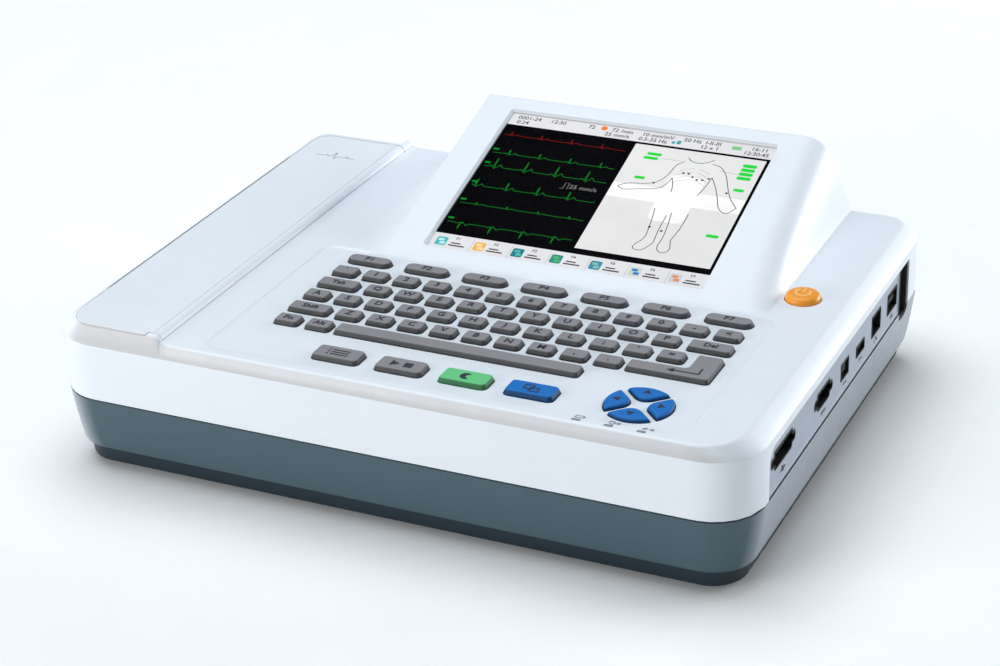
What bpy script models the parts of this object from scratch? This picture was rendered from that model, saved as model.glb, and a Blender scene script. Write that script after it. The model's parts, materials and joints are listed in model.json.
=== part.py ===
"""A desktop twelve-lead ECG machine, modelled as an assembly of separate pieces.

Dimensions below are millimetres; MM turns them into Blender's metres where a mesh is made.
The frame: +X to the operator's right, +Y to the rear, +Z up. The origin is under the middle of the
case, on the surface that the feet stand on.
"""

import math

import bmesh
import bpy
from mathutils import Matrix, Vector

MM = 0.001

# ---------------------------------------------------------------- driving dimensions, mm
WIDTH = 408.0
DEPTH = 313.0
HALF_W = WIDTH / 2
HALF_D = DEPTH / 2
FRONT_RADIUS = 29.0
REAR_RADIUS = 19.0
WALL = 2.5
GAP = 0.3

FOOT_HEIGHT = 2.5
SEAM_Z = 45.5
WALL_TOP_Z = 79.2
DECK_Z = 86.8
LID_TOP_Z = 91.5
DECK_UNDER_Z = DECK_Z - WALL

# Inset of the deck's edge from the walls: front, side, rear.
DECK_INSET = (2.5, 9.5, 5.0)

# The display hump: a sloping face with a flank on either side.
FACE_TILT = math.radians(16.3)
CREASE_Y = -4.9
FACE_LENGTH = 160.0
FACE_LEFT_X = -72.5
FACE_RIGHT_X = (141.0, 132.0)
FLANK_LEFT_X = (-92.0, -103.0)
FLANK_RIGHT_X = 160.0
SCREEN_X = (-51.5, 119.0)
SCREEN_S = (14.4, 146.4)
PANEL_GROW = 5.0

# The paper lid and its hinge, along the lid's right-hand edge.
HINGE_X = -134.3
BARREL_RADIUS = LID_TOP_Z - DECK_Z
HINGE_AXIS = (HINGE_X, DECK_Z)
PIN_RADIUS = 1.3
LID_X = (-189.5, HINGE_X)
LID_Y = (-151.2, 139.0)
LID_FRONT_Y = -154.0
LID_CORNER = (15.0, 10.0)
KNUCKLE_RADIUS = BARREL_RADIUS + 1.0
SKIN_END_X = HINGE_X - 3.0
PAPER_SLOT_X = -192.5
PAPER_SLOT_Y = (-110.0, 100.0)

# The keyboard: a shallow recess with rows of keys.
RECESS_X = (-108.0, 168.0)
RECESS_Y = (-147.0, -5.2)
RECESS_Z = DECK_Z - 0.8
KEY_PITCH = 19.12
KEY_SIZE = (14.8, 10.6)
WIDE_KEY = 24.5
KEY_TOP_Z = RECESS_Z + 2.8
KEY_SHOULDER_Z = RECESS_Z + 0.9
KEY_TAPER = 0.8
KEY_CORNER = 2.2
HOLE_CLEARANCE = 0.4
WEB_Z = (DECK_UNDER_Z - 1.5, DECK_UNDER_Z - GAP)
WEB_MARGIN = 0.9
FUNCTION_Y = -17.9
FUNCTION_PITCH = 36.2
FUNCTION_FIRST_X = -73.3
FUNCTION_SIZE = (27.4, 9.6)
NUMBER_Y = -35.5
ROW_PITCH = 16.75
ENTER_X = (112.2, 143.4, 158.4)
SPECIAL_Y = -131.0
SPECIAL_X = (-33.6, 3.6, 40.8, 78.0)
SPECIAL_SIZE = (27.6, 14.0)
SPECIAL_CORNER = 3.0
PAD_CENTRE = (134.0, -124.5)
PAD_RADIUS = 18.2
PAD_SLIT = 3.4
PAD_BLUNT = 2.6
POWER_CENTRE = (171.7, 23.9)
POWER_RADIUS = 9.8
LIGHT_X = (110.5, 128.0, 145.5)
LIGHT_Y = -150.4
LIGHT_SIZE = (4.6, 1.8)

# The sockets on the right-hand side: centre Y, centre Z, width, height.
PANEL_X = (201.4, 203.2)
PANEL_Y = (-125.0, 106.4)
PANEL_TOP_Z = 74.0
SOCKETS = {
    "ecg_socket": (-101.0, 63.0, 38.0, 11.4),
    "serial_socket": (-34.6, 61.5, 31.0, 11.0),
    "usb_b_socket": (3.0, 59.4, 14.0, 10.6),
    "usb_a_socket": (31.5, 58.9, 15.4, 7.2),
    "lan_socket": (61.6, 60.6, 17.0, 13.4),
    "auxiliary_socket": (93.0, 60.6, 18.6, 13.0),
}
SLOT_Y = (107.0, 123.0)
SLOT_Z = (40.0, 74.0)

# The thermal printer.
ROLL_AXIS = (-160.0, 39.5)
ROLL_RADIUS = 24.0
SPINDLE_RADIUS = 5.0
PAPER_Y = (-112.0, 102.0)
PLATEN_AXIS = (-181.5, 77.3)
PLATEN_RADIUS = 7.5
SHAFT_RADIUS = 3.0
BIN_X = (-189.5, -131.0)
BIN_Y = (-116.5, 106.5)
BIN_Z = (6.0, 64.0)
BIN_WALL = 2.0
GEAR_MODULE = 0.8
PLATEN_TEETH = 16
PINION_TEETH = 12
GEAR_Y = (109.5, 115.0)
PINION_DIRECTION = math.radians(-70.0)
PINION_DISTANCE = (PLATEN_TEETH + PINION_TEETH) / 2 * GEAR_MODULE + 0.15
PINION_AXIS = (
    PLATEN_AXIS[0] + PINION_DISTANCE * math.cos(PINION_DIRECTION),
    PLATEN_AXIS[1] + PINION_DISTANCE * math.sin(PINION_DIRECTION),
)
MOTOR_RADIUS = 17.5
MOTOR_Y = (119.0, 141.0)

# The lower shell and what stands in it.
SHELL_BOTTOM_Z = FOOT_HEIGHT
FLOOR_Z = SHELL_BOTTOM_Z + 3.0
PLINTH_Z = 12.6
PLINTH_INSET = 9.3
FOOT_RADIUS = 9.5
FOOT_X = 183.5
FOOT_Y = (-67.0, 112.0)
BATTERY_X = (-100.0, 20.0)
BATTERY_Y = (-72.0, 12.0)
BOARD_Z = (50.6, 52.2)
BOSS_XY = ((-174.0, -130.0), (174.0, -130.0), (-176.0, 134.0), (182.0, 134.0))
BOSS_RADIUS = 5.0
BOSS_TOP_Z = SEAM_Z - 8.0
SCREW_HOLE_RADIUS = 2.2
HEAD_RADIUS = 3.6
INLET_CENTRE = (118.0, 29.0)
INLET_SIZE = (27.0, 19.6)
EARTH_CENTRE = (82.0, 29.0)
VENT_X = (-60.0, 40.0)
VENT_COUNT = 11
LATCH_CENTRE = (-60.0, 66.0)
LATCH_SIZE = (24.0, 9.0)

DISC_STEPS = 24
BORE_CLEARANCE = 0.12


# ---------------------------------------------------------------- materials
def material(name, colour, roughness, metallic=0.0):
    made = bpy.data.materials.new(name)
    made.use_nodes = True
    shader = made.node_tree.nodes["Principled BSDF"]
    shader.inputs["Base Color"].default_value = (*colour, 1.0)
    shader.inputs["Roughness"].default_value = roughness
    shader.inputs["Metallic"].default_value = metallic
    return made


def make_materials():
    return {
        "case_white": material("case_white", (0.80, 0.83, 0.87), 0.38),
        "case_slate": material("case_slate", (0.10, 0.15, 0.18), 0.45),
        "panel_silver": material("panel_silver", (0.45, 0.47, 0.52), 0.40),
        "socket_black": material("socket_black", (0.01, 0.01, 0.012), 0.50),
        "key_grey": material("key_grey", (0.27, 0.26, 0.27), 0.50),
        "key_green": material("key_green", (0.13, 0.52, 0.24), 0.45),
        "key_blue": material("key_blue", (0.02, 0.14, 0.46), 0.45),
        "button_orange": material("button_orange", (0.83, 0.35, 0.03), 0.35),
        "lens_clear": material("lens_clear", (0.02, 0.02, 0.02), 0.10),
        "screen_dark": material("screen_dark", (0.01, 0.01, 0.01), 0.20),
        "rubber_black": material("rubber_black", (0.02, 0.02, 0.02), 0.80),
        "steel": material("steel", (0.55, 0.56, 0.58), 0.30, 1.0),
        "board_green": material("board_green", (0.02, 0.20, 0.09), 0.50),
        "paper_white": material("paper_white", (0.85, 0.84, 0.80), 0.80),
        "gear_white": material("gear_white", (0.78, 0.76, 0.70), 0.50),
        "battery_blue": material("battery_blue", (0.05, 0.12, 0.30), 0.50),
    }


# ---------------------------------------------------------------- spans and outlines in a plane
def grown(span, by):
    return (span[0] - by, span[1] + by)


def about(centre, half):
    return (centre - half, centre + half)


def rounded_outline(x, y, radii, steps):
    """Points round a rectangle, anticlockwise. The radii start at the front left corner."""
    corners = (
        (x[0], y[0], 1, 1, 180),
        (x[1], y[0], -1, 1, 270),
        (x[1], y[1], -1, -1, 0),
        (x[0], y[1], 1, -1, 90),
    )
    points = []
    for (cx, cy, sx, sy, start), radius in zip(corners, radii):
        centre_x, centre_y = cx + sx * radius, cy + sy * radius
        for step in range(steps + 1):
            angle = math.radians(start + 90 * step / steps)
            points.append((centre_x + radius * math.cos(angle), centre_y + radius * math.sin(angle)))
    return points


def case_outline(inset_front, inset_side, inset_rear, steps=6):
    """The case's plan outline, drawn in by the given insets."""
    front = max(FRONT_RADIUS - (inset_front + inset_side) / 2, 4.0)
    rear = max(REAR_RADIUS - (inset_rear + inset_side) / 2, 4.0)
    return rounded_outline(
        (-HALF_W + inset_side, HALF_W - inset_side),
        (-HALF_D + inset_front, HALF_D - inset_rear),
        (front, front, rear, rear),
        steps,
    )


def centred_outline(centre, size, corner, steps=1, grow=0.0):
    half_x, half_y = size[0] / 2 + grow, size[1] / 2 + grow
    return rounded_outline(
        (centre[0] - half_x, centre[0] + half_x),
        (centre[1] - half_y, centre[1] + half_y),
        (max(corner + grow, 0.2),) * 4,
        steps,
    )


def polar(radius, angle):
    return (radius * math.cos(angle), radius * math.sin(angle))


def disc_outline(centre, radius, steps=DISC_STEPS):
    around = [polar(radius, 2 * math.pi * i / steps) for i in range(steps)]
    return [(centre[0] + x, centre[1] + y) for x, y in around]


def at_z(outline, z):
    return [(x, y, z) for x, y in outline]


def at_y(outline, y):
    """An outline drawn in X and Z, placed across Y."""
    return [(x, y, z) for x, z in outline]


def at_x(outline, x):
    """An outline drawn in Y and Z, placed across X."""
    return [(x, y, z) for y, z in outline]


# ---------------------------------------------------------------- solids
def new_object(name, mesh_data):
    mesh = bpy.data.meshes.new(name)
    mesh_data.to_mesh(mesh)
    mesh_data.free()
    made = bpy.data.objects.new(name, mesh)
    bpy.context.scene.collection.objects.link(made)
    return made


def loft(name, sections):
    """A closed solid through sections that have the same number of points."""
    build = bmesh.new()
    rings = [[build.verts.new(Vector(p) * MM) for p in section] for section in sections]
    count = len(rings[0])
    for lower, upper in zip(rings, rings[1:]):
        for i in range(count):
            j = (i + 1) % count
            build.faces.new((lower[i], lower[j], upper[j], upper[i]))
    build.faces.new(reversed(rings[0]))
    build.faces.new(rings[-1])
    bmesh.ops.recalc_face_normals(build, faces=build.faces[:])
    return new_object(name, build)


def box(name, x, y, z):
    outline = [(x[0], y[0]), (x[1], y[0]), (x[1], y[1]), (x[0], y[1])]
    return loft(name, [at_z(outline, z[0]), at_z(outline, z[1])])


def prism_z(name, outline, z):
    return loft(name, [at_z(outline, z[0]), at_z(outline, z[1])])


def prism_y(name, outline, y):
    return loft(name, [at_y(outline, y[0]), at_y(outline, y[1])])


def prism_x(name, outline, x):
    return loft(name, [at_x(outline, x[0]), at_x(outline, x[1])])


def rod_y(name, axis, radius, y, steps=DISC_STEPS):
    return prism_y(name, disc_outline(axis, radius, steps), y)


def joined(name, pieces):
    """Several separate shapes as one mesh, for use as a single tool."""
    build = bmesh.new()
    for piece in pieces:
        build.from_mesh(piece.data)
        bpy.data.objects.remove(piece)
    return new_object(name, build)


def combine(target, tool, operation):
    """Applies a Boolean of tool to target, and removes tool."""
    modifier = target.modifiers.new(operation.lower(), "BOOLEAN")
    modifier.operation = operation
    modifier.object = tool
    bpy.context.view_layer.update()
    graph = bpy.context.evaluated_depsgraph_get()
    result = bpy.data.meshes.new_from_object(target.evaluated_get(graph))
    target.modifiers.clear()
    target.data = result
    bpy.data.objects.remove(tool)
    return target


def cut(target, *tools):
    for tool in tools:
        combine(target, tool, "DIFFERENCE")
    return target


def add(target, *tools):
    for tool in tools:
        combine(target, tool, "UNION")
    return target


def on_face(x, s, height):
    """A point on the hump's sloping face: across it, up it from the crease, and proud of it."""
    return (
        x,
        CREASE_Y + s * math.cos(FACE_TILT) - height * math.sin(FACE_TILT),
        DECK_Z + s * math.sin(FACE_TILT) + height * math.cos(FACE_TILT),
    )


def face_slab(name, x, s, height):
    """A block that lies parallel to the hump's sloping face."""
    outline = [(x[0], s[0]), (x[1], s[0]), (x[1], s[1]), (x[0], s[1])]
    return loft(name, [[on_face(px, ps, h) for px, ps in outline] for h in height])


# ---------------------------------------------------------------- the case
def hump_section(y, inset):
    """The hump cut across at y: base, left flank, face, rounded shoulder, right flank."""
    share = (y - CREASE_Y) / (FACE_LENGTH * math.cos(FACE_TILT))
    face_z = DECK_Z + (y - CREASE_Y) * math.tan(FACE_TILT) - inset / math.cos(FACE_TILT)
    rise = max(face_z - DECK_Z, 0.0)
    base_z = DECK_UNDER_Z - 4.0
    left_base = FLANK_LEFT_X[0] + (FLANK_LEFT_X[1] - FLANK_LEFT_X[0]) * share
    left_top = FACE_LEFT_X
    right_top = FACE_RIGHT_X[0] + (FACE_RIGHT_X[1] - FACE_RIGHT_X[0]) * share
    right_base = FLANK_RIGHT_X
    shoulder = 0.3 * rise
    run = right_base - right_top
    left_middle = left_base + 0.45 * (left_top - left_base)
    section = [
        (left_base + 1.6 * inset, base_z),
        (left_base + 1.6 * inset, DECK_UNDER_Z),
        (left_middle + 1.3 * inset, DECK_UNDER_Z + 0.35 * rise),
        (left_top + inset, face_z),
        (right_top - inset, face_z),
        (right_top + 0.32 * run - inset, face_z - 0.25 * shoulder),
        (right_top + 0.52 * run - inset, face_z - shoulder),
        (right_base - inset, DECK_UNDER_Z),
        (right_base - inset, base_z),
    ]
    return [(x, y, max(z, base_z if i in (0, 8) else DECK_UNDER_Z)) for i, (x, z) in enumerate(section)]


def hump(name, inset):
    """The raised display housing; inset draws every side in, for the hollow under it."""
    first = CREASE_Y - 3.0 + 12.0 * inset
    last = CREASE_Y + FACE_LENGTH * math.cos(FACE_TILT) - inset
    stations = 6
    sections = [hump_section(first + (last - first) * i / stations, inset) for i in range(stations + 1)]
    base_z = DECK_UNDER_Z - 4.0
    back = [(x, last + 3.0, base_z + 0.72 * (z - base_z)) for x, _, z in sections[-1]]
    return loft(name, sections + [back])


def lid_surround():
    """The part of the cover round the paper lid, which stands as high as the lid."""
    right = HINGE_X + BARREL_RADIUS

    def section(z, inset_front, inset_left, inset_rear, right_x):
        outline = rounded_outline(
            (-HALF_W + inset_left, right_x),
            (-HALF_D + inset_front, HALF_D - inset_rear),
            (FRONT_RADIUS - inset_left, 0.01, 0.01, REAR_RADIUS - inset_left),
            6,
        )
        return at_z(outline, z)

    return loft(
        "lid_surround",
        [
            section(WALL_TOP_Z - 4.0, 0.05, 0.05, 0.05, right),
            section(WALL_TOP_Z, 0.05, 0.05, 0.05, right),
            section(DECK_Z, 2.0, 8.6, 8.0, right),
            section(DECK_Z + 0.5 * BARREL_RADIUS, 2.3, 10.6, 10.2, HINGE_X + 0.866 * BARREL_RADIUS),
            section(DECK_Z + 0.866 * BARREL_RADIUS, 2.4, 12.4, 12.2, HINGE_X + 0.5 * BARREL_RADIUS),
            section(LID_TOP_Z, 2.5, 13.6, 13.6, HINGE_X),
        ],
    )


def lid_outline(front_y, right_x, grow):
    """The lid's plan outline, which is rounded at its two left-hand corners."""
    front = LID_CORNER[0] - (front_y - LID_FRONT_Y)
    return rounded_outline(
        (LID_X[0] - grow, right_x + grow),
        (front_y - grow, LID_Y[1] + grow),
        (front + grow, 0.01, 0.01, LID_CORNER[1] + grow),
        6,
    )


def key_layout():
    """Every row of keys: strip name to (centre, size, corner) of each key."""
    function_x = [FUNCTION_FIRST_X + FUNCTION_PITCH * i for i in range(7)]
    round_end = FUNCTION_SIZE[1] / 2 - 0.6
    rows = {"key_row_function": [((x, FUNCTION_Y), FUNCTION_SIZE, round_end) for x in function_x]}

    def letters(first_x, count, y):
        return [((first_x + KEY_PITCH * i, y), KEY_SIZE, KEY_CORNER) for i in range(count)]

    def wide(x, y):
        return [((x, y), (WIDE_KEY, KEY_SIZE[1]), KEY_CORNER)]

    y = [NUMBER_Y - ROW_PITCH * i for i in range(5)]
    rows["key_row_numbers"] = letters(-79.5, 13, y[0])
    rows["key_row_upper"] = wide(-75.2, y[1]) + letters(-50.8, 10, y[1]) + wide(146.0, y[1])
    rows["key_row_home"] = letters(-79.8, 12, y[2])
    rows["key_row_lower"] = wide(-75.2, y[3]) + letters(-51.1, 9, y[3])
    rows["key_row_control"] = letters(-79.5, 2, y[4])
    rows["space_bar"] = [((21.6, y[4]), (143.0, KEY_SIZE[1]), KEY_CORNER)]
    return rows


def enter_outline(grow):
    """The L-shaped enter key, which takes the ends of two rows."""
    half = KEY_SIZE[1] / 2 + grow
    low_y = NUMBER_Y - 3 * ROW_PITCH
    high_y = NUMBER_Y - 2 * ROW_PITCH
    left = ENTER_X[0] - grow
    inner = ENTER_X[1] - grow
    right = ENTER_X[2] + grow
    return [
        (left, low_y - half),
        (right, low_y - half),
        (right, high_y + half),
        (inner, high_y + half),
        (inner, low_y + half),
        (left, low_y + half),
    ]


def pad_outline(direction, grow):
    """One quarter of the round cursor pad, pointing in direction, with a slit to each neighbour."""
    radius = PAD_RADIUS + grow
    slit = PAD_SLIT / 2 - grow
    apex = slit * math.sqrt(2.0)
    inner = apex + PAD_BLUNT - grow
    near = radius - 2.4
    half_arc = math.pi / 4 - math.asin(slit / radius) - 0.10
    half_near = math.pi / 4 - math.asin(slit / near)
    steps = 6
    points = [polar(radius, half_arc * (2 * i / steps - 1)) for i in range(steps + 1)]
    points.append(polar(near, half_near))
    points += [(inner, inner - apex), (inner, apex - inner)]
    points.append(polar(near, -half_near))
    turn = Matrix.Rotation(direction, 2)
    turned = [turn @ Vector(point) for point in points]
    return [(PAD_CENTRE[0] + point.x, PAD_CENTRE[1] + point.y) for point in turned]


PAD_KEYS = {
    "arrow_right": 0.0,
    "arrow_up": math.pi / 2,
    "arrow_left": math.pi,
    "arrow_down": -math.pi / 2,
}
SPECIAL_KEYS = ("mode_key", "start_stop_key", "sleep_key", "copy_key")


def all_key_holes():
    """One tool that cuts a hole for every key and button in the deck."""
    clear = HOLE_CLEARANCE
    outlines = [enter_outline(clear), disc_outline(POWER_CENTRE, POWER_RADIUS + clear)]
    for keys in key_layout().values():
        outlines += [centred_outline(*key, grow=clear) for key in keys]
    for x in SPECIAL_X:
        outlines.append(centred_outline((x, SPECIAL_Y), SPECIAL_SIZE, SPECIAL_CORNER, 2, clear))
    for direction in PAD_KEYS.values():
        outlines.append(pad_outline(direction, clear))
    for x in LIGHT_X:
        outlines.append(centred_outline((x, LIGHT_Y), LIGHT_SIZE, 0.5, grow=0.2))
    tools = [prism_z("hole", outline, (DECK_UNDER_Z - 3.0, DECK_Z + 6.0)) for outline in outlines]
    return joined("key_holes", tools)


def top_cover():
    """The white upper shell: walls, deck, display hump, lid surround and all their openings."""
    cover = loft(
        "top_cover",
        [
            at_z(case_outline(0, 0, 0), SEAM_Z + GAP / 2),
            at_z(case_outline(0, 0, 0), WALL_TOP_Z),
            at_z(case_outline(*DECK_INSET), DECK_Z),
        ],
    )
    add(cover, lid_surround(), hump("hump", 0.0))
    inset = tuple(i + WALL for i in DECK_INSET)
    hollow = loft(
        "hollow",
        [
            at_z(case_outline(WALL, WALL, WALL), SEAM_Z - 5.0),
            at_z(case_outline(WALL, WALL, WALL), WALL_TOP_Z - 1.0),
            at_z(case_outline(*inset), DECK_UNDER_Z),
        ],
    )
    add(hollow, hump("hump_hollow", WALL))
    cut(cover, hollow)
    well_right = HINGE_X + BARREL_RADIUS + GAP
    wall_x = (well_right - 1.0, well_right + WALL)
    add(cover, box("well_wall", wall_x, (-153.0, 150.0), (BIN_Z[1] + 3.0, DECK_UNDER_Z + 1.0)))
    above = LID_TOP_Z + 5.0
    under_skin = LID_TOP_Z - WALL - GAP
    rebate = prism_z("lid_rebate", lid_outline(LID_FRONT_Y, SKIN_END_X, GAP), (under_skin, above))
    cut(rebate, rod_y("knuckle", HINGE_AXIS, KNUCKLE_RADIUS, (LID_FRONT_Y - 2.0, LID_Y[0]), 32))
    cut(
        cover,
        prism_z("lid_opening", lid_outline(LID_Y[0], well_right - GAP, GAP), (60.0, above)),
        rebate,
        box("paper_slot", (PAPER_SLOT_X, LID_X[0]), PAPER_SLOT_Y, (60.0, above)),
        rod_y("pin_seat", HINGE_AXIS, PIN_RADIUS + BORE_CLEARANCE, (LID_Y[0] - 2.0, LID_Y[1] + 4.0), 12),
        prism_z(
            "recess",
            rounded_outline(RECESS_X, RECESS_Y, (7.0, 7.0, 7.0, 7.0), 3),
            (RECESS_Z, DECK_Z + 4.0),
        ),
        all_key_holes(),
        face_slab("screen_window", SCREEN_X, SCREEN_S, (-9.0, 6.0)),
        face_slab(
            "display_pocket",
            (SCREEN_X[0] - PANEL_GROW - 4.0, SCREEN_X[1] + PANEL_GROW + 4.0),
            (SCREEN_S[0] - 4.0, SCREEN_S[1] + 4.0),
            (-12.0, -WALL - 0.2),
        ),
        side_opening(),
        prism_x(
            "latch_hole",
            centred_outline(LATCH_CENTRE, LATCH_SIZE, 2.0, 2, HOLE_CLEARANCE),
            (-HALF_W - 2.0, -HALF_W + 6.0),
        ),
    )
    return cover


def side_opening():
    """The opening in the right-hand wall for the socket panel and the slot behind it."""
    y = (PANEL_Y[0] - GAP, SLOT_Y[1] + GAP)
    z = (SEAM_Z - 6.0, PANEL_TOP_Z + GAP)
    outline = rounded_outline(y, z, (0.01, 0.01, 2.0, 9.0), 4)
    return prism_x("side_opening", outline, (HALF_W - 8.0, HALF_W + 3.0))


def shell_sections(rows):
    return [at_z(case_outline(inset, inset, inset), z) for z, inset in rows]


def lower_shell():
    """The slate lower tray, with a set-back plinth, screw bosses, vents and openings."""
    shell = loft(
        "lower_shell",
        shell_sections(
            (
                (SHELL_BOTTOM_Z, PLINTH_INSET),
                (PLINTH_Z, PLINTH_INSET - 0.8),
                (PLINTH_Z + 0.9, 5.0),
                (SEAM_Z - GAP / 2, 0.0),
            )
        ),
    )
    hollow = loft(
        "hollow",
        shell_sections(((FLOOR_Z, PLINTH_INSET + 3.0), (PLINTH_Z + 2.0, 8.2), (SEAM_Z + 4.0, 2.6))),
    )
    cut(shell, hollow)
    bosses = [disc_outline(centre, BOSS_RADIUS, 12) for centre in BOSS_XY]
    screw_holes = [disc_outline(centre, SCREW_HOLE_RADIUS, 12) for centre in BOSS_XY]
    counterbores = [disc_outline(centre, HEAD_RADIUS + 0.6, 12) for centre in BOSS_XY]
    pitch = (VENT_X[1] - VENT_X[0]) / (VENT_COUNT - 1)
    vents = [about(VENT_X[0] + pitch * i, 1.5) for i in range(VENT_COUNT)]
    rear_wall = (HALF_D - 14.0, HALF_D + 2.0)
    notch_z = (SLOT_Z[0] - GAP, SEAM_Z + 5.0)
    notch = rounded_outline(grown(SLOT_Y, GAP), notch_z, (5.0, 5.0, 0.01, 0.01), 4)
    add(shell, joined("bosses", [prism_z("boss", o, (FLOOR_Z - 1.0, BOSS_TOP_Z)) for o in bosses]))
    cut(
        shell,
        joined("screw_holes", [prism_z("hole", o, (0.0, SEAM_Z)) for o in screw_holes]),
        joined("counterbores", [prism_z("bore", o, (0.0, FLOOR_Z + 1.0)) for o in counterbores]),
        joined("vents", [box("vent", x, rear_wall, (18.0, 38.0)) for x in vents]),
        box("battery_opening", grown(BATTERY_X, 3.0), grown(BATTERY_Y, 3.0), (0.0, 8.0)),
        prism_y("inlet_opening", centred_outline(INLET_CENTRE, INLET_SIZE, 2.0, 2, GAP), rear_wall),
        rod_y("earth_hole", EARTH_CENTRE, 4.0 + GAP, rear_wall),
        prism_x("slot_notch", notch, (HALF_W - 9.0, HALF_W + 3.0)),
    )
    return shell


# ---------------------------------------------------------------- keys
def key_cap(name, centre, size, corner, steps=1):
    """One key: a straight neck through the deck and a tapered cap."""
    return loft(
        name,
        [
            at_z(centred_outline(centre, size, corner, steps), WEB_Z[0] + 0.6),
            at_z(centred_outline(centre, size, corner, steps), KEY_SHOULDER_Z),
            at_z(centred_outline(centre, size, corner, steps, -KEY_TAPER), KEY_TOP_Z),
        ],
    )


def key_strip(name, keys):
    """A moulded rubber strip that carries one row of keys."""
    margin = WEB_MARGIN
    left = keys[0][0][0] - keys[0][1][0] / 2 - margin
    right = keys[-1][0][0] + keys[-1][1][0] / 2 + margin
    y = keys[0][0][1]
    half = keys[0][1][1] / 2 + margin
    strip = box(name, (left, right), (y - half, y + half), WEB_Z)
    add(strip, joined("caps", [key_cap("cap", *key) for key in keys]))
    return strip


def special_key(name, x):
    centre = (x, SPECIAL_Y)
    key = key_cap("cap", centre, SPECIAL_SIZE, SPECIAL_CORNER, 2)
    flange = prism_z(name, centred_outline(centre, SPECIAL_SIZE, SPECIAL_CORNER, 1, 1.2), WEB_Z)
    return add(flange, key)


def enter_key():
    key = loft(
        "cap",
        [
            at_z(enter_outline(0.0), WEB_Z[0] + 0.6),
            at_z(enter_outline(0.0), KEY_SHOULDER_Z),
            at_z(enter_outline(-KEY_TAPER), KEY_TOP_Z),
        ],
    )
    flange = prism_z("enter_key", enter_outline(WEB_MARGIN), WEB_Z)
    return add(flange, key)


def arrow_key(name, direction):
    key = loft(
        "cap",
        [
            at_z(pad_outline(direction, 0.0), WEB_Z[0] + 0.6),
            at_z(pad_outline(direction, 0.0), KEY_SHOULDER_Z),
            at_z(pad_outline(direction, -0.6), KEY_TOP_Z),
        ],
    )
    flange = prism_z(name, pad_outline(direction, 0.8), WEB_Z)
    return add(flange, key)


def power_button():
    """A domed round button with a retaining flange."""
    profile = [
        (POWER_RADIUS + 1.6, WEB_Z[0]),
        (POWER_RADIUS + 1.6, WEB_Z[1]),
        (POWER_RADIUS, WEB_Z[1] + 0.01),
        (POWER_RADIUS, DECK_Z + 1.4),
        (POWER_RADIUS - 1.2, DECK_Z + 2.6),
        (POWER_RADIUS - 4.5, DECK_Z + 3.6),
        (1.5, DECK_Z + 4.0),
    ]
    return loft("power_button", [at_z(disc_outline(POWER_CENTRE, r), z) for r, z in profile])


def make_keys(look):
    for name, keys in key_layout().items():
        paint(key_strip(name, keys), look["key_grey"])
    for name, x in zip(SPECIAL_KEYS, SPECIAL_X):
        colour = {"sleep_key": "key_green", "copy_key": "key_blue"}.get(name, "key_grey")
        paint(special_key(name, x), look[colour])
    paint(enter_key(), look["key_grey"])
    for name, direction in PAD_KEYS.items():
        paint(arrow_key(name, direction), look["key_blue"])
    paint(power_button(), look["button_orange"])
    board = box("keypad_board", (-100.0, 164.0), (-146.0, -6.0), (WEB_Z[0] - 4.2, WEB_Z[0] - 2.6))
    paint(board, look["board_green"])
    rail_y = (LIGHT_Y - 1.0, LIGHT_Y + 1.4)
    light_pipe = box("light_pipe", (LIGHT_X[0] - 4.0, LIGHT_X[2] + 4.0), rail_y, (81.6, 83.8))
    tips = [centred_outline((x, LIGHT_Y), LIGHT_SIZE, 0.5) for x in LIGHT_X]
    add(light_pipe, joined("tips", [prism_z("tip", tip, (83.0, DECK_Z + 0.2)) for tip in tips]))
    paint(light_pipe, look["lens_clear"])


# ---------------------------------------------------------------- the display
def make_display(look):
    lens = face_slab(
        "display_lens",
        (SCREEN_X[0] + GAP, SCREEN_X[1] - GAP),
        (SCREEN_S[0] + GAP, SCREEN_S[1] - GAP),
        (-2.7, -1.2),
    )
    paint(lens, look["lens_clear"])
    x = (SCREEN_X[0] - PANEL_GROW, SCREEN_X[1] + PANEL_GROW)
    s = (SCREEN_S[0] - 3.0, SCREEN_S[1] + 3.0)
    paint(face_slab("display_panel", x, s, (-9.0, -3.2)), look["screen_dark"])
    bracket = face_slab("display_bracket", (x[0] - 3.0, x[1] + 3.0), s, (-10.8, -9.4))
    ears = [
        face_slab("ear", (edge, edge + 1.2), (s[0] + 20.0, s[1] - 20.0), (-10.5, -4.5))
        for edge in (x[0] - 2.6, x[1] + 1.4)
    ]
    paint(add(bracket, joined("ears", ears)), look["steel"])


# ---------------------------------------------------------------- sockets on the right-hand side
def d_outline(centre_y, centre_z, width, height, grow):
    """A D-shaped connector outline: wider at the top than at the bottom, with clipped corners."""
    half_w, half_h, slope, clip = width / 2 + grow, height / 2 + grow, 1.8, 2.2
    return [
        (centre_y - half_w + slope + clip, centre_z - half_h),
        (centre_y + half_w - slope - clip, centre_z - half_h),
        (centre_y + half_w - slope, centre_z - half_h + clip),
        (centre_y + half_w, centre_z + half_h - clip),
        (centre_y + half_w - clip, centre_z + half_h),
        (centre_y - half_w + clip, centre_z + half_h),
        (centre_y - half_w, centre_z + half_h - clip),
        (centre_y - half_w + slope, centre_z - half_h + clip),
    ]


def socket_outline(name, grow=0.0):
    y, z, width, height = SOCKETS[name]
    if name in ("ecg_socket", "serial_socket"):
        return d_outline(y, z, width, height, grow)
    return centred_outline((y, z), (width, height), 0.6, 1, grow)


def socket(name):
    """A socket body with a hollow mouth and a contact block inside."""
    y, z, width, height = SOCKETS[name]
    body = prism_x(name, socket_outline(name), (186.0, PANEL_X[1]))
    cut(body, prism_x("mouth", socket_outline(name, -1.0), (195.0, PANEL_X[1] + 2.0)))
    block = box("block", (194.0, 200.5), about(y, width / 2 - 3.2), about(z, 0.14 * height))
    return add(body, block)


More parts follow.
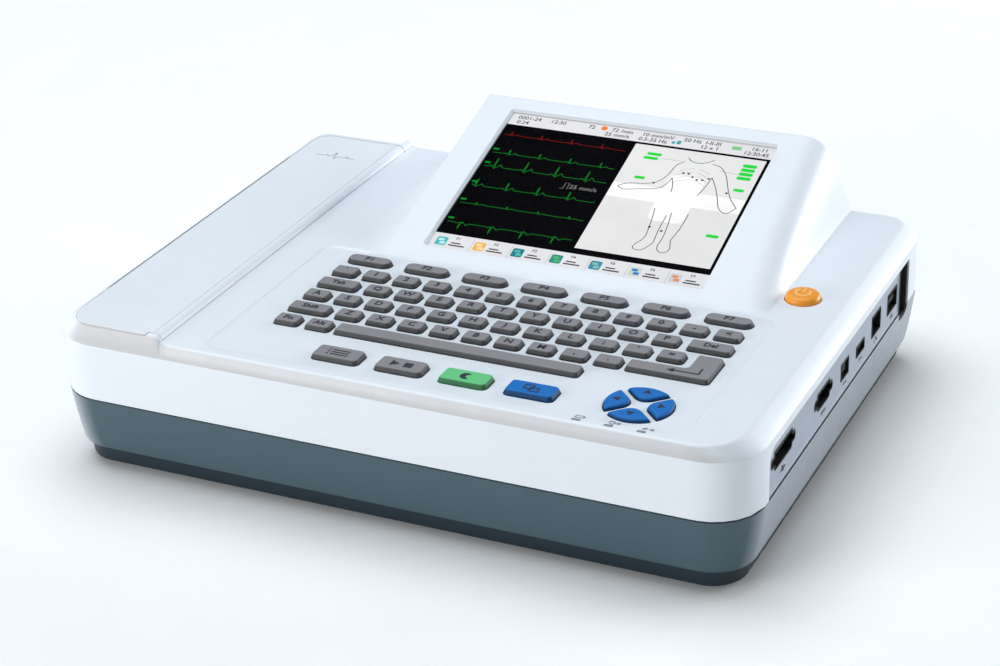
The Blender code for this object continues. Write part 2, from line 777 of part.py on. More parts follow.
def make_side_panel(look):
    outline = rounded_outline(PANEL_Y, (SEAM_Z + 0.5, PANEL_TOP_Z), (0.5, 0.5, 0.5, 9.0), 4)
    panel = prism_x("port_panel", outline, PANEL_X)
    holes = [prism_x("hole", socket_outline(name, GAP), grown(PANEL_X, 2.0)) for name in SOCKETS]
    cut(panel, joined("holes", holes))
    paint(panel, look["panel_silver"])
    for name in SOCKETS:
        paint(socket(name), look["socket_black"])
    slot_outline = rounded_outline(SLOT_Y, SLOT_Z, (4.7, 4.7, 1.5, 1.5), 4)
    insert = prism_x("side_slot_insert", slot_outline, (196.5, PANEL_X[1]))
    groove = rounded_outline(grown(SLOT_Y, -2.5), grown(SLOT_Z, -3.0), (2.5,) * 4, 3)
    cut(insert, prism_x("groove", groove, (199.0, PANEL_X[1] + 2.0)))
    paint(insert, look["socket_black"])


# ---------------------------------------------------------------- the paper lid and the printer
def paper_lid():
    """The lid: a skin, a round hinge barrel along its right edge, and two arms for the roller."""
    skin_z = (LID_TOP_Z - WALL, LID_TOP_Z)
    lid = prism_z("paper_lid", lid_outline(LID_FRONT_Y, SKIN_END_X, 0.0), skin_z)
    knuckle_clear = KNUCKLE_RADIUS + GAP
    cut(lid, rod_y("knuckle_gap", HINGE_AXIS, knuckle_clear, (LID_FRONT_Y - 2.0, LID_Y[0]), 32))
    add(lid, box("hinge_edge", (SKIN_END_X - 4.0, HINGE_X), LID_Y, skin_z))
    barrel = rod_y("barrel", HINGE_AXIS, BARREL_RADIUS, LID_Y, 32)
    add(lid, barrel)
    for y in ((-118.5, -115.5), (105.3, 108.3)):
        arm_outline = [
            (PLATEN_AXIS[0] - 5.4, PLATEN_AXIS[1] - 2.0),
            (PLATEN_AXIS[0] - 2.4, PLATEN_AXIS[1] - 5.4),
            (PLATEN_AXIS[0] + 2.4, PLATEN_AXIS[1] - 5.4),
            (PLATEN_AXIS[0] + 6.0, PLATEN_AXIS[1] - 1.0),
            (PLATEN_AXIS[0] + 14.0, LID_TOP_Z - 1.5),
            (PLATEN_AXIS[0] - 5.4, LID_TOP_Z - 1.5),
        ]
        add(lid, prism_y("arm", arm_outline, y))
    for x in (-168.0, -152.0):
        add(lid, box("rib", about(x, 1.0), grown(LID_Y, -12.0), (LID_TOP_Z - 6.0, LID_TOP_Z - 1.5)))
    cut(
        lid,
        rod_y("pin_bore", HINGE_AXIS, PIN_RADIUS + BORE_CLEARANCE, grown(LID_Y, 2.0), 12),
        rod_y("shaft_bore", PLATEN_AXIS, SHAFT_RADIUS + BORE_CLEARANCE, (-125.0, 112.0)),
    )
    return lid


def gear_outline(axis, teeth, phase, backlash=0.10):
    """A spur gear's outline with involute flanks, seen along Y. phase is the first tooth's direction."""
    pressure = math.radians(20.0)
    pitch_radius = GEAR_MODULE * teeth / 2
    base_radius = pitch_radius * math.cos(pressure)
    root_radius = pitch_radius - 1.2 * GEAR_MODULE
    tip_radius = pitch_radius + 0.85 * GEAR_MODULE
    half_tooth = math.pi / (2 * teeth) - backlash / (2 * pitch_radius)
    at_pitch = math.tan(pressure) - pressure
    lowest = max(base_radius, root_radius)
    steps = 3
    radii = [root_radius] + [lowest + (tip_radius - lowest) * i / steps for i in range(steps + 1)]
    flank = []
    for radius in radii:
        local_pressure = math.acos(min(base_radius / radius, 1.0))
        flank.append((radius, half_tooth + at_pitch - (math.tan(local_pressure) - local_pressure)))
    points = []
    for tooth in range(teeth):
        middle = phase + 2 * math.pi * tooth / teeth
        points += [(radius, middle - half) for radius, half in flank]
        points += [(radius, middle + half) for radius, half in reversed(flank)]
    return [(axis[0] + r * math.cos(angle), axis[1] + r * math.sin(angle)) for r, angle in points]


def make_printer(look):
    paint(paper_lid(), look["case_white"])
    pin_y = (LID_Y[0] - 1.7, LID_Y[1] + 3.7)
    paint(rod_y("lid_hinge_pin", HINGE_AXIS, PIN_RADIUS, pin_y, 12), look["steel"])

    roller = rod_y("platen_roller", PLATEN_AXIS, PLATEN_RADIUS, PAPER_Y, 32)
    cut(roller, rod_y("bore", PLATEN_AXIS, SHAFT_RADIUS + BORE_CLEARANCE, grown(PAPER_Y, 5.0)))
    paint(roller, look["rubber_black"])
    paint(rod_y("platen_shaft", PLATEN_AXIS, SHAFT_RADIUS, (-120.5, 116.0)), look["steel"])
    gear = prism_y("platen_gear", gear_outline(PLATEN_AXIS, PLATEN_TEETH, PINION_DIRECTION), GEAR_Y)
    cut(gear, rod_y("bore", PLATEN_AXIS, SHAFT_RADIUS + BORE_CLEARANCE, grown(GEAR_Y, 2.0)))
    paint(gear, look["gear_white"])

    half_tooth = math.pi / PINION_TEETH
    phase = PINION_DIRECTION + math.pi + half_tooth
    pinion = prism_y("motor_pinion", gear_outline(PINION_AXIS, PINION_TEETH, phase), GEAR_Y)
    add(pinion, rod_y("motor_shaft", PINION_AXIS, 2.0, (GEAR_Y[1] - 1.0, MOTOR_Y[0] - GAP), 12))
    paint(pinion, look["steel"])
    motor = rod_y("feed_motor", PINION_AXIS, MOTOR_RADIUS, MOTOR_Y)
    paint(motor, look["steel"])

    paper_bin = box("paper_bin", BIN_X, BIN_Y, BIN_Z)
    inside_z = (BIN_Z[0] + BIN_WALL, BIN_Z[1] + 5.0)
    cut(paper_bin, box("inside", grown(BIN_X, -BIN_WALL), grown(BIN_Y, -BIN_WALL), inside_z))
    plate_x = (BIN_X[0] + 0.5, PINION_AXIS[0] + 21.0)
    plate_y = (MOTOR_Y[0] - GAP - BIN_WALL, MOTOR_Y[0] - GAP)
    add(
        paper_bin,
        box("motor_floor", plate_x, (BIN_Y[1] - 1.0, plate_y[1]), (BIN_Z[0], BIN_Z[0] + BIN_WALL)),
        box("motor_plate", plate_x, plate_y, (BIN_Z[0], 80.0)),
    )
    slot_z = (ROLL_AXIS[1] - SPINDLE_RADIUS - 0.4, BIN_Z[1] + 2.0)
    cut(
        paper_bin,
        box("spindle_slots", about(ROLL_AXIS[0], SPINDLE_RADIUS + 0.4), grown(BIN_Y, 2.0), slot_z),
        rod_y("shaft_hole", PINION_AXIS, 4.0, grown(plate_y, 3.0), 12),
    )
    paint(paper_bin, look["case_slate"])
    paint(rod_y("roll_spindle", ROLL_AXIS, SPINDLE_RADIUS, BIN_Y, 16), look["gear_white"])
    roll = rod_y("paper_roll", ROLL_AXIS, ROLL_RADIUS, grown(PAPER_Y, -1.0), 32)
    cut(roll, rod_y("core", ROLL_AXIS, SPINDLE_RADIUS + 1.5, grown(PAPER_Y, 5.0), 16))
    paint(roll, look["paper_white"])
    head_top = PLATEN_AXIS[1] - PLATEN_RADIUS - GAP
    head = box("print_head", (-190.0, -173.0), PAPER_Y, (BIN_Z[1] + GAP, head_top - 1.0))
    heater_y = grown(PAPER_Y, -1.0)
    add(head, box("heater_line", about(PLATEN_AXIS[0], 3.0), heater_y, (head_top - 2.0, head_top)))
    paint(head, look["steel"])
    bar_x = (PAPER_SLOT_X + GAP, PAPER_SLOT_X + GAP + 0.8)
    paint(box("tear_bar", bar_x, grown(PAPER_SLOT_Y, -2.0), (80.0, 88.2)), look["steel"])

    latch_outline = centred_outline(LATCH_CENTRE, LATCH_SIZE, 2.0, 2)
    latch = prism_x("lid_latch", latch_outline, (-HALF_W, -HALF_W + 5.0))
    stem_x = (-HALF_W + 4.0, -HALF_W + 8.0)
    add(latch, box("stem", stem_x, about(LATCH_CENTRE[0], 6.0), about(LATCH_CENTRE[1], 3.0)))
    paint(latch, look["case_slate"])


# ---------------------------------------------------------------- inside the case, and underneath
def make_inside(look):
    board = box("main_board", (-112.0, 185.0), (-128.0, 122.0), BOARD_Z)
    chips = [
        box("chip", (x, x + w), (y, y + d), (BOARD_Z[1] - 0.5, BOARD_Z[1] + h))
        for x, y, w, d, h in (
            (-60.0, -40.0, 32.0, 32.0, 2.6),
            (10.0, -60.0, 22.0, 14.0, 1.8),
            (10.0, -20.0, 22.0, 14.0, 1.8),
            (90.0, -110.0, 60.0, 36.0, 8.0),
            (60.0, 20.0, 26.0, 26.0, 4.0),
        )
    ]
    paint(add(board, joined("chips", chips)), look["board_green"])

    supply = box("power_supply", (66.0, 176.0), (52.0, 128.0), (8.0, 10.0))
    for x, y, w, d, top in (
        (76.0, 60.0, 34.0, 30.0, 36.0),
        (118.0, 60.0, 4.0, 60.0, 38.0),
        (130.0, 64.0, 18.0, 18.0, 34.0),
        (130.0, 88.0, 18.0, 18.0, 30.0),
        (76.0, 100.0, 30.0, 16.0, 26.0),
    ):
        add(supply, box("block", (x, x + w), (y, y + d), (9.0, top)))
    paint(supply, look["board_green"])

    pack_z = (FLOOR_Z + 0.9, FLOOR_Z + 28.5)
    pack = box("battery_pack", grown(BATTERY_X, -2.0), grown(BATTERY_Y, -2.0), pack_z)
    paint(pack, look["battery_blue"])
    door = box("battery_door", grown(BATTERY_X, 2.6), grown(BATTERY_Y, 2.6), (SHELL_BOTTOM_Z, FLOOR_Z))
    finger_x = about((BATTERY_X[0] + BATTERY_X[1]) / 2, 14.0)
    finger_y = (BATTERY_Y[0] + 4.0, BATTERY_Y[0] + 12.0)
    cut(door, box("finger", finger_x, finger_y, (0.0, SHELL_BOTTOM_Z + 1.4)))
    paint(door, look["case_slate"])

    speaker_profile = ((19.0, 7.0), (19.0, 9.0), (12.0, 15.0), (12.0, 21.0))
    speaker = loft("speaker", [at_z(disc_outline((60.0, -100.0), r), z) for r, z in speaker_profile])
    paint(speaker, look["socket_black"])


def make_rear(look):
    """The mains inlet and the earth terminal in the rear wall."""
    body = centred_outline(INLET_CENTRE, INLET_SIZE, 2.0, 2)
    inlet = prism_y("mains_inlet", body, (HALF_D - 22.0, HALF_D - 1.2))
    mouth = centred_outline(INLET_CENTRE, INLET_SIZE, 3.0, 2, -2.0)
    cut(inlet, prism_y("mouth", mouth, (HALF_D - 16.0, HALF_D + 2.0)))
    for x, z in ((-7.0, -1.5), (0.0, 2.5), (7.0, -1.5)):
        blade_x = about(INLET_CENTRE[0] + x, 1.0)
        blade_z = about(INLET_CENTRE[1] + z, 2.0)
        add(inlet, box("blade", blade_x, (HALF_D - 18.0, HALF_D - 5.0), blade_z))
    paint(inlet, look["socket_black"])
    profile = ((6.5, -16.0), (6.5, -8.0), (4.0, -7.9), (4.0, -2.4), (3.0, -2.3), (3.0, 0.0))
    rings = [at_y(disc_outline(EARTH_CENTRE, radius, 16), HALF_D + y) for radius, y in profile]
    post = loft("earth_post", rings)
    paint(post, look["steel"])


def make_feet(look):
    side_name = {-1: "left", 1: "right"}
    for end, y in zip(("front", "rear"), FOOT_Y):
        for side in (-1, 1):
            name = f"foot_{end}_{side_name[side]}"
            centre = (side * FOOT_X, y)
            profile = ((FOOT_RADIUS - 1.0, 0.0), (FOOT_RADIUS, 1.0), (FOOT_RADIUS, FOOT_HEIGHT - GAP))
            foot = loft(name, [at_z(disc_outline(centre, r), z) for r, z in profile])
            paint(foot, look["rubber_black"])
    for number, (x, y) in enumerate(BOSS_XY, 1):
        under_head = FLOOR_Z + 0.6
        profile = (
            (HEAD_RADIUS, SHELL_BOTTOM_Z + 0.6),
            (HEAD_RADIUS, under_head),
            (1.7, under_head + 0.01),
            (1.7, BOSS_TOP_Z - 2.0),
        )
        screw = loft(f"case_screw_{number}", [at_z(disc_outline((x, y), r, 12), z) for r, z in profile])
        paint(screw, look["steel"])


def paint(target, look):
    target.data.materials.clear()
    target.data.materials.append(look)
    for face in target.data.polygons:
        face.material_index = 0
    target.data.shade_smooth()
    target.data.set_sharp_from_angle(angle=math.radians(35.0))
    return target


def main():
    for existing in list(bpy.data.objects):
        bpy.data.objects.remove(existing)
    look = make_materials()
    paint(top_cover(), look["case_white"])
    paint(lower_shell(), look["case_slate"])
    make_keys(look)
    make_display(look)
    make_side_panel(look)
    make_printer(look)
    make_inside(look)
    make_rear(look)
    make_feet(look)


main()
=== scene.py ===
"""The looks of a desktop twelve-lead ECG machine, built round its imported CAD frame.

Outlines below are in millimetres; MM turns them into metres where a mesh is made. Every place comes
from the frame's boxes and joints, or from a few driving dimensions of the moulded shapes.
"""

import json
import math

import bmesh
import bpy
from mathutils import Matrix, Vector


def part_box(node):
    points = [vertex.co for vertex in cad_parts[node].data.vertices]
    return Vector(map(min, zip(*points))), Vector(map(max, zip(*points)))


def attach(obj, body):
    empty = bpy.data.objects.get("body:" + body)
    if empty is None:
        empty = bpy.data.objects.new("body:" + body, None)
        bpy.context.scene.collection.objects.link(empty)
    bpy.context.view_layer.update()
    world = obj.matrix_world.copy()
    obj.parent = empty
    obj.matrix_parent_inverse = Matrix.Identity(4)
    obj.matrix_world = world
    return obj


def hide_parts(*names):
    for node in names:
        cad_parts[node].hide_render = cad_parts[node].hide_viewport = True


MM = 0.001
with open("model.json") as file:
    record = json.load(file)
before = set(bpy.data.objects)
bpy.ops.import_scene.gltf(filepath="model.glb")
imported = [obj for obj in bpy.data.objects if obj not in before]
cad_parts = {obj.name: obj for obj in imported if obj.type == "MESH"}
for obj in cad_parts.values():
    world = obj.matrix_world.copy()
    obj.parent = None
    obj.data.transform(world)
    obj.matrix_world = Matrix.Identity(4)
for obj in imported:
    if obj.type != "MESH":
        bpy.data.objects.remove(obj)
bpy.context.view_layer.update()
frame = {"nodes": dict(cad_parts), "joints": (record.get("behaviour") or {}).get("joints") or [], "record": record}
record = frame["record"]
BODIES = {node: body for body, nodes in record["behaviour"]["bodies"].items() for node in nodes}


# ---------------------------------------------------------------- driving dimensions, from the frame, mm
def box_of(node):
    low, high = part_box(node)
    return low / MM, high / MM


def span(node, axis):
    low, high = box_of(node)
    return (low[axis], high[axis])


def middle(node):
    low, high = box_of(node)
    return (low + high) / 2


def plan_of(node, inset=0.0, axes=(0, 1)):
    """A node's centre and size along two axes; the size leaves out a flange of width inset."""
    spans = [span(node, axis) for axis in axes]
    centre = tuple((low + high) / 2 for low, high in spans)
    return centre, tuple(high - low - 2 * inset for low, high in spans)


def joint_place(name):
    return next(Vector(joint["pos_m"]) / MM for joint in frame["joints"] if joint["name"] == name)


COVER_LOW, COVER_HIGH = box_of("top_cover")
SHELL_LOW, SHELL_HIGH = box_of("lower_shell")
LID_LOW, LID_HIGH = box_of("paper_lid")
LENS_LOW, LENS_HIGH = box_of("display_lens")
HINGE = joint_place("lid_hinge")
PLATEN = joint_place("platen_spin")
HINGE_AXIS = (HINGE.x, HINGE.z)
PLATEN_AXIS = (PLATEN.x, PLATEN.z)
HALF_W = COVER_HIGH.x
HALF_D = COVER_HIGH.y
SEAM_Z = (COVER_LOW.z + SHELL_HIGH.z) / 2
DECK_Z = HINGE.z
LID_TOP_Z = LID_HIGH.z
BARREL_RADIUS = LID_TOP_Z - DECK_Z
WALL = 2.5
GAP = 0.3
LID_GAP = 0.2
FRONT_RADIUS = 29.0
REAR_RADIUS = 19.0
BAND_HEIGHT = 7.6
WALL_TOP_Z = DECK_Z - BAND_HEIGHT
DECK_UNDER_Z = DECK_Z - WALL

# How far the deck's edge stands in from the front, side and rear walls, and how softly it is rounded.
DECK_INSET = (2.5, 9.5, 5.0)
LID_RIM_INSET = 13.6
EDGE_ROUND = 1.6
LID_FRONT_RADIUS = 15.0
LID_REAR_RADIUS = 10.0
SKIN_END = HINGE.x - 3.0
BARREL_FRONT_Y = span("lid_hinge_pin", 1)[0] + 1.7

# The display hump: a flat sloping face with a hollow flank on its left and a full one on its right.
# Pairs of X hold at the crease and at the rear end.
FACE_TILT = math.radians(16.3)
FACE_LENGTH = 160.0
CREASE_Y = -4.9
HUMP_END_Y = CREASE_Y + FACE_LENGTH * math.cos(FACE_TILT)
FACE_LEFT_X = -72.5
FACE_RIGHT_X = (141.0, 132.0)
FLANK_LEFT_X = (-92.0, -103.0)
FLANK_RIGHT_X = 160.0
SCREEN_X = (LENS_LOW.x - GAP, LENS_HIGH.x + GAP)
SCREEN_S = (
    (LENS_LOW.y - CREASE_Y) / math.cos(FACE_TILT) - 1.2 * math.tan(FACE_TILT) - GAP,
    (LENS_HIGH.y - CREASE_Y) / math.cos(FACE_TILT) - 2.7 * math.tan(FACE_TILT) + GAP,
)

KEY_TOP_Z = span("space_bar", 2)[1]
KEY_SHOULDER_Z = KEY_TOP_Z - 1.9
KEY_RADIUS = 2.2
RECESS_Z = DECK_Z - 0.8
WEB_Z = (span("space_bar", 2)[0], DECK_UNDER_Z - GAP)
WEB_MARGIN = 0.9
SPECIAL_FLANGE = 1.2
RECESS_X = (span("keypad_board", 0)[0] - 8.0, span("keypad_board", 0)[1] + 4.0)
RECESS_Y = (span("keypad_board", 1)[0] - 1.0, CREASE_Y - 0.3)
RIGHT_ANGLE = math.pi / 2


# ---------------------------------------------------------------- outlines in a plane
def about(centre, half):
    return (centre - half, centre + half)


def grown(pair, by):
    return (pair[0] - by, pair[1] + by)


def polar(radius, angle):
    return (radius * math.cos(angle), radius * math.sin(angle))


def shifted(outline, by):
    return [(x + by[0], y + by[1]) for x, y in outline]


def spun(outline, angle):
    turn = Matrix.Rotation(angle, 2)
    return [tuple(turn @ Vector(point)) for point in outline]


def filleted(corners, steps=6):
    """A polygon's outline with each corner rounded. corners holds (x, y, radius), anticlockwise."""
    points = []
    count = len(corners)
    for i, (x, y, radius) in enumerate(corners):
        here = Vector((x, y))
        before = Vector(corners[i - 1][:2]) - here
        after = Vector(corners[(i + 1) % count][:2]) - here
        if radius <= 0.0:
            points.append((x, y))
            continue
        half = before.angle(after) / 2
        reach = min(radius / math.tan(half), 0.49 * before.length, 0.49 * after.length)
        start = here + before.normalized() * reach
        end = here + after.normalized() * reach
        into = (before.normalized() + after.normalized()).normalized()
        centre = here + into * reach * math.tan(half) / math.sin(half)
        first = start - centre
        turn = first.angle_signed(end - centre, 0.0)
        for step in range(steps + 1):
            arm = Matrix.Rotation(-turn * step / steps, 2) @ first
            points.append((centre.x + arm.x, centre.y + arm.y))
    return points


def four_corners(x, y, radii, steps=6):
    """A rectangle whose corners have their own radii, anticlockwise from the lower left one."""
    corners = ((x[0], y[0]), (x[1], y[0]), (x[1], y[1]), (x[0], y[1]))
    return filleted([(*corner, radius) for corner, radius in zip(corners, radii)], steps)


def rectangle(x, y, radius=0.0, steps=6):
    return four_corners(x, y, (radius,) * 4, steps)


def centred(centre, size, radius, grow=0.0, steps=6):
    half_x, half_y = size[0] / 2 + grow, size[1] / 2 + grow
    return rectangle(about(centre[0], half_x), about(centre[1], half_y), max(radius + grow, 0.2), steps)


def disc(centre, radius, steps=64):
    return shifted([polar(radius, 2 * math.pi * i / steps) for i in range(steps)], centre)


def case_outline(insets, steps=12):
    """The case's plan outline, drawn in by (front, side, rear)."""
    front, side, rear = insets
    near = max(FRONT_RADIUS - (front + side) / 2, 3.0)
    far = max(REAR_RADIUS - (rear + side) / 2, 3.0)
    x, y = (-HALF_W + side, HALF_W - side), (-HALF_D + front, HALF_D - rear)
    return four_corners(x, y, (near, near, far, far), steps)


def tray_outline(inset):
    return case_outline((inset,) * 3, 16)


def rounding(radius, top, out=-1.0, steps=4):
    """(growth, height) pairs up a quarter round that ends at top, leaning inwards unless out is 1."""
    turns = [RIGHT_ANGLE * i / steps for i in range(steps + 1)]
    return [(out * radius * (1 - math.cos(a)), top - radius + radius * math.sin(a)) for a in turns]


def chamfered(ends, radius, chamfer, along=None):
    """The (radius, place) profile of a rod whose two ends are chamfered."""
    along = along or chamfer
    narrow = radius - chamfer
    return ((narrow, ends[0]), (radius, ends[0] + along), (radius, ends[1] - along), (narrow, ends[1]))


# ---------------------------------------------------------------- meshes
def linked(name, data):
    made = bpy.data.objects.new(name, data)
    bpy.context.scene.collection.objects.link(made)
    return made


def new_object(name, build):
    mesh = bpy.data.meshes.new(name)
    build.to_mesh(mesh)
    build.free()
    return linked(name, mesh)


def loft(name, sections, capped=True):
    """A solid through sections that have the same number of points."""
    build = bmesh.new()
    rings = [[build.verts.new(Vector(point) * MM) for point in section] for section in sections]
    count = len(rings[0])
    for lower, upper in zip(rings, rings[1:]):
        for i in range(count):
            j = (i + 1) % count
            build.faces.new((lower[i], lower[j], upper[j], upper[i]))
    if capped:
        build.faces.new(reversed(rings[0]))
        build.faces.new(rings[-1])
    bmesh.ops.recalc_face_normals(build, faces=build.faces[:])
    return new_object(name, build)


def lifted(outline, axis, place):
    """An outline's points in space, in the plane square to an axis at a place along it."""
    if axis == "x":
        return [(place, y, z) for y, z in outline]
    if axis == "y":
        return [(x, place, z) for x, z in outline]
    return [(x, y, place) for x, y in outline]


def prism(name, outline, axis, ends):
    return loft(name, [lifted(outline, axis, place) for place in ends])


def levelled(name, outline_at, axis, levels, capped=True):
    """A solid whose outline grows or shrinks from level to level; levels holds (growth, place)."""
    return loft(name, [lifted(outline_at(grow), axis, place) for grow, place in levels], capped)


def turned(name, centre, axis, profile, steps=96):
    """A turned solid; profile holds (radius, place along the axis)."""
    return levelled(name, lambda radius: disc(centre, radius, steps), axis, profile)


def box(name, x, y, z, bevel=0.0):
    made = prism(name, rectangle(x, y), "z", z)
    return soften(made, bevel) if bevel else made


def on_face(x, s, height=0.0):
    """A point on the hump's sloping face: across it, up it from the crease, and proud of it."""
    return (
        x,
        CREASE_Y + s * math.cos(FACE_TILT) - height * math.sin(FACE_TILT),
        DECK_Z + s * math.sin(FACE_TILT) + height * math.cos(FACE_TILT),
    )


def face_levels(name, outline_at, levels):
    """A solid that stands on the sloping face; levels holds (growth, height)."""
    return loft(name, [[on_face(x, s, height) for x, s in outline_at(grow)] for grow, height in levels])


def joined(name, pieces):
    build = bmesh.new()
    for piece in pieces:
        first = len(build.faces)
        build.from_mesh(piece.data)
        build.faces.ensure_lookup_table()
        for face in build.faces[first:]:
            face.material_index = 0
        bpy.data.objects.remove(piece)
    return new_object(name, build)


def evaluated_mesh(piece):
    bpy.context.view_layer.update()
    graph = bpy.context.evaluated_depsgraph_get()
    return bpy.data.meshes.new_from_object(piece.evaluated_get(graph))


def combine(target, operation, tools):
    """Applies a Boolean of each tool to target, and removes the tool."""
    for tool in tools:
        modifier = target.modifiers.new(operation.lower(), "BOOLEAN")
        modifier.operation = operation
        modifier.object = tool
        modifier.solver = "EXACT"
        result = evaluated_mesh(target)
        target.modifiers.clear()
        target.data = result
        bpy.data.objects.remove(tool)
    return target


def cut(target, *tools):
    return combine(target, "DIFFERENCE", tools)


def add(target, *tools):
    return combine(target, "UNION", tools)


def soften(piece, width, segments=3):
    """Rounds every sharp edge of a simple solid."""
    build = bmesh.new()
    build.from_mesh(piece.data)
    sharp = [e for e in build.edges if len(e.link_faces) == 2 and e.calc_face_angle() > math.radians(40)]
    rounded = {"offset": width * MM, "segments": segments, "profile": 0.5, "affect": "EDGES"}
    bmesh.ops.bevel(build, geom=sharp, clamp_overlap=True, **rounded)
    build.to_mesh(piece.data)
    build.free()
    return piece


def show(piece, look, node=None, body=None):
    """Finishes a piece: its material, its body, and the CAD node it stands for."""
    piece.data.materials.clear()
    piece.data.materials.append(looks[look])
    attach(piece, body or BODIES.get(node, "case"))
    if node:
        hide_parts(node)


def show_solid(piece, look, node=None, body=None, crease=38.0):
    """Shows a piece with smooth shading that keeps flat faces flat and creases crisp."""
    mesh = piece.data
    mesh.polygons.foreach_set("use_smooth", [True] * len(mesh.polygons))
    mesh.set_sharp_from_angle(angle=math.radians(crease))
    weighted = piece.modifiers.new("weighted", "WEIGHTED_NORMAL")
    weighted.keep_sharp = True
    weighted.weight = 80
    show(piece, look, node, body)


# ---------------------------------------------------------------- materials
class Nodes:
    """Small helpers for writing one material's node tree."""

    def __init__(self, name):
        self.material = bpy.data.materials.new(name)
        self.material.use_nodes = True
        self.tree = self.material.node_tree
        self.shader = self.tree.nodes["Principled BSDF"]
        self.place = self.node("TexCoord").outputs["Object"]

    def put(self, socket, value):
        """Gives a socket a number, a colour, a vector or another node's output."""
        if isinstance(value, bpy.types.NodeSocket):
            self.tree.links.new(value, socket)
        elif socket.type == "RGBA":
            socket.default_value = (*value, 1.0)
        else:
            socket.default_value = value

    def node(self, kind, **inputs):
        made = self.tree.nodes.new("ShaderNode" + kind)
        for name, value in inputs.items():
            self.put(made.inputs[name.replace("_", " ")], value)
        return made

    def shade(self, **inputs):
        for name, value in inputs.items():
            self.put(self.shader.inputs[name.replace("_", " ")], value)

    def noise(self, scale, detail=3.0, stretch=(1.0, 1.0, 1.0)):
        place = self.node("Mapping", Vector=self.place, Scale=stretch).outputs["Vector"]
        return self.node("TexNoise", Vector=place, Scale=scale, Detail=detail).outputs["Fac"]

    def ramp(self, source, low, high, from_low=0.35, from_high=0.65):
        ends = {"From_Min": from_low, "From_Max": from_high, "To_Min": low, "To_Max": high}
        return self.node("MapRange", Value=source, **ends).outputs["Result"]

    def mix(self, share, first, second):
        made = self.node("Mix")
        made.data_type = "RGBA"
        for socket, value in zip((made.inputs[0], made.inputs[6], made.inputs[7]), (share, first, second)):
            self.put(socket, value)
        return made.outputs[2]

    def maths(self, operation, first, second=0.0):
        made = self.node("Math")
        made.operation = operation
        self.put(made.inputs[0], first)
        self.put(made.inputs[1], second)
        return made.outputs[0]

    def axes(self, source):
        return self.node("SeparateXYZ", Vector=source).outputs

    def normal(self):
        return self.axes(self.node("NewGeometry").outputs["Normal"])

    def bump(self, source, strength, distance):
        made = self.node("Bump", Height=source, Strength=strength, Distance=distance)
        self.shade(Normal=made.outputs["Normal"])


def scaled(colour, by):
    return tuple(min(channel * by, 1.0) for channel in colour)


def plastic(name, colour, roughness, grain=0.25, specular=0.5):
    """Moulded plastic or rubber: slight tone drift, a fine grain, and smears where hands have been."""
    n = Nodes(name)
    drift = n.ramp(n.noise(14.0), 0.0, 1.0, 0.3, 0.7)
    even = n.mix(drift, scaled(colour, 0.985), scaled(colour, 1.01))
    smear = n.ramp(n.noise(55.0, 5.0, (1.0, 1.0, 2.0)), 0.0, 1.0, 0.55, 0.8)
    n.base = n.mix(smear, even, scaled(colour, 0.975))
    rough = n.ramp(n.noise(90.0, 4.0), roughness - 0.03, roughness + 0.05, 0.3, 0.7)
    n.shade(Base_Color=n.base, Roughness=rough, Specular_IOR_Level=specular)
    n.bump(n.noise(2600.0, 2.0), grain, 0.00004)
    return n


def brushed(name, colour, roughness, stretch):
    """Turned or rolled metal, with fine lines along the given stretch."""
    n = Nodes(name)
    lines = n.noise(420.0, 3.0, stretch)
    tone = n.mix(n.ramp(lines, 0.0, 1.0), scaled(colour, 0.8), colour)
    n.shade(Base_Color=tone, Roughness=n.ramp(lines, roughness - 0.06, roughness + 0.12), Metallic=1.0)
    n.bump(lines, 0.15, 0.00005)
    return n


def glowing(name, colour, strength):
    """One colour of the lit display, with the faint unevenness of its backlight."""
    n = Nodes(name)
    glow = n.ramp(n.noise(12.0), 0.94, 1.03, 0.3, 0.7)
    n.shade(Base_Color=scaled(colour, 0.1), Roughness=0.6, Specular_IOR_Level=0.0)
    n.shade(Emission_Color=colour, Emission_Strength=n.maths("MULTIPLY", glow, strength))
    return n


def white_case():
    """White ABS. The front band between wall and deck is painted greyer where it faces the front: painted shade.
    """
    n = plastic("white_abs", (0.79, 0.83, 0.885), 0.36, 0.12)
    # Painted shade: the band is darkened to a grey most where it faces straight to the front, less as it turns
    # round the corners.
    front_band_shade = n.ramp(n.normal()[1], 1.0, 0.0, -0.94, -0.72)
    above = n.maths("GREATER_THAN", n.axes(n.place)[2], WALL_TOP_Z * MM)
    band = n.maths("MULTIPLY", n.maths("MULTIPLY", front_band_shade, above), 0.8)
    n.shade(Base_Color=n.mix(band, n.base, (0.52, 0.51, 0.515)))
    return n


def key_rubber(name, colour):
    """Silicone rubber in its own colour on its top faces, painted much darker on its sloping sides as painted
    shade.
    """
    n = plastic(name, colour, 0.5, 0.3, specular=0.22)
    # Painted shade: faces that slope away from straight up fade to 0.28 of the key's colour.
    unshaded_top_share = n.ramp(n.normal()[2], 0.0, 1.0, 0.45, 0.93)
    n.shade(Base_Color=n.mix(unshaded_top_share, scaled(colour, 0.28), n.base))
    return n


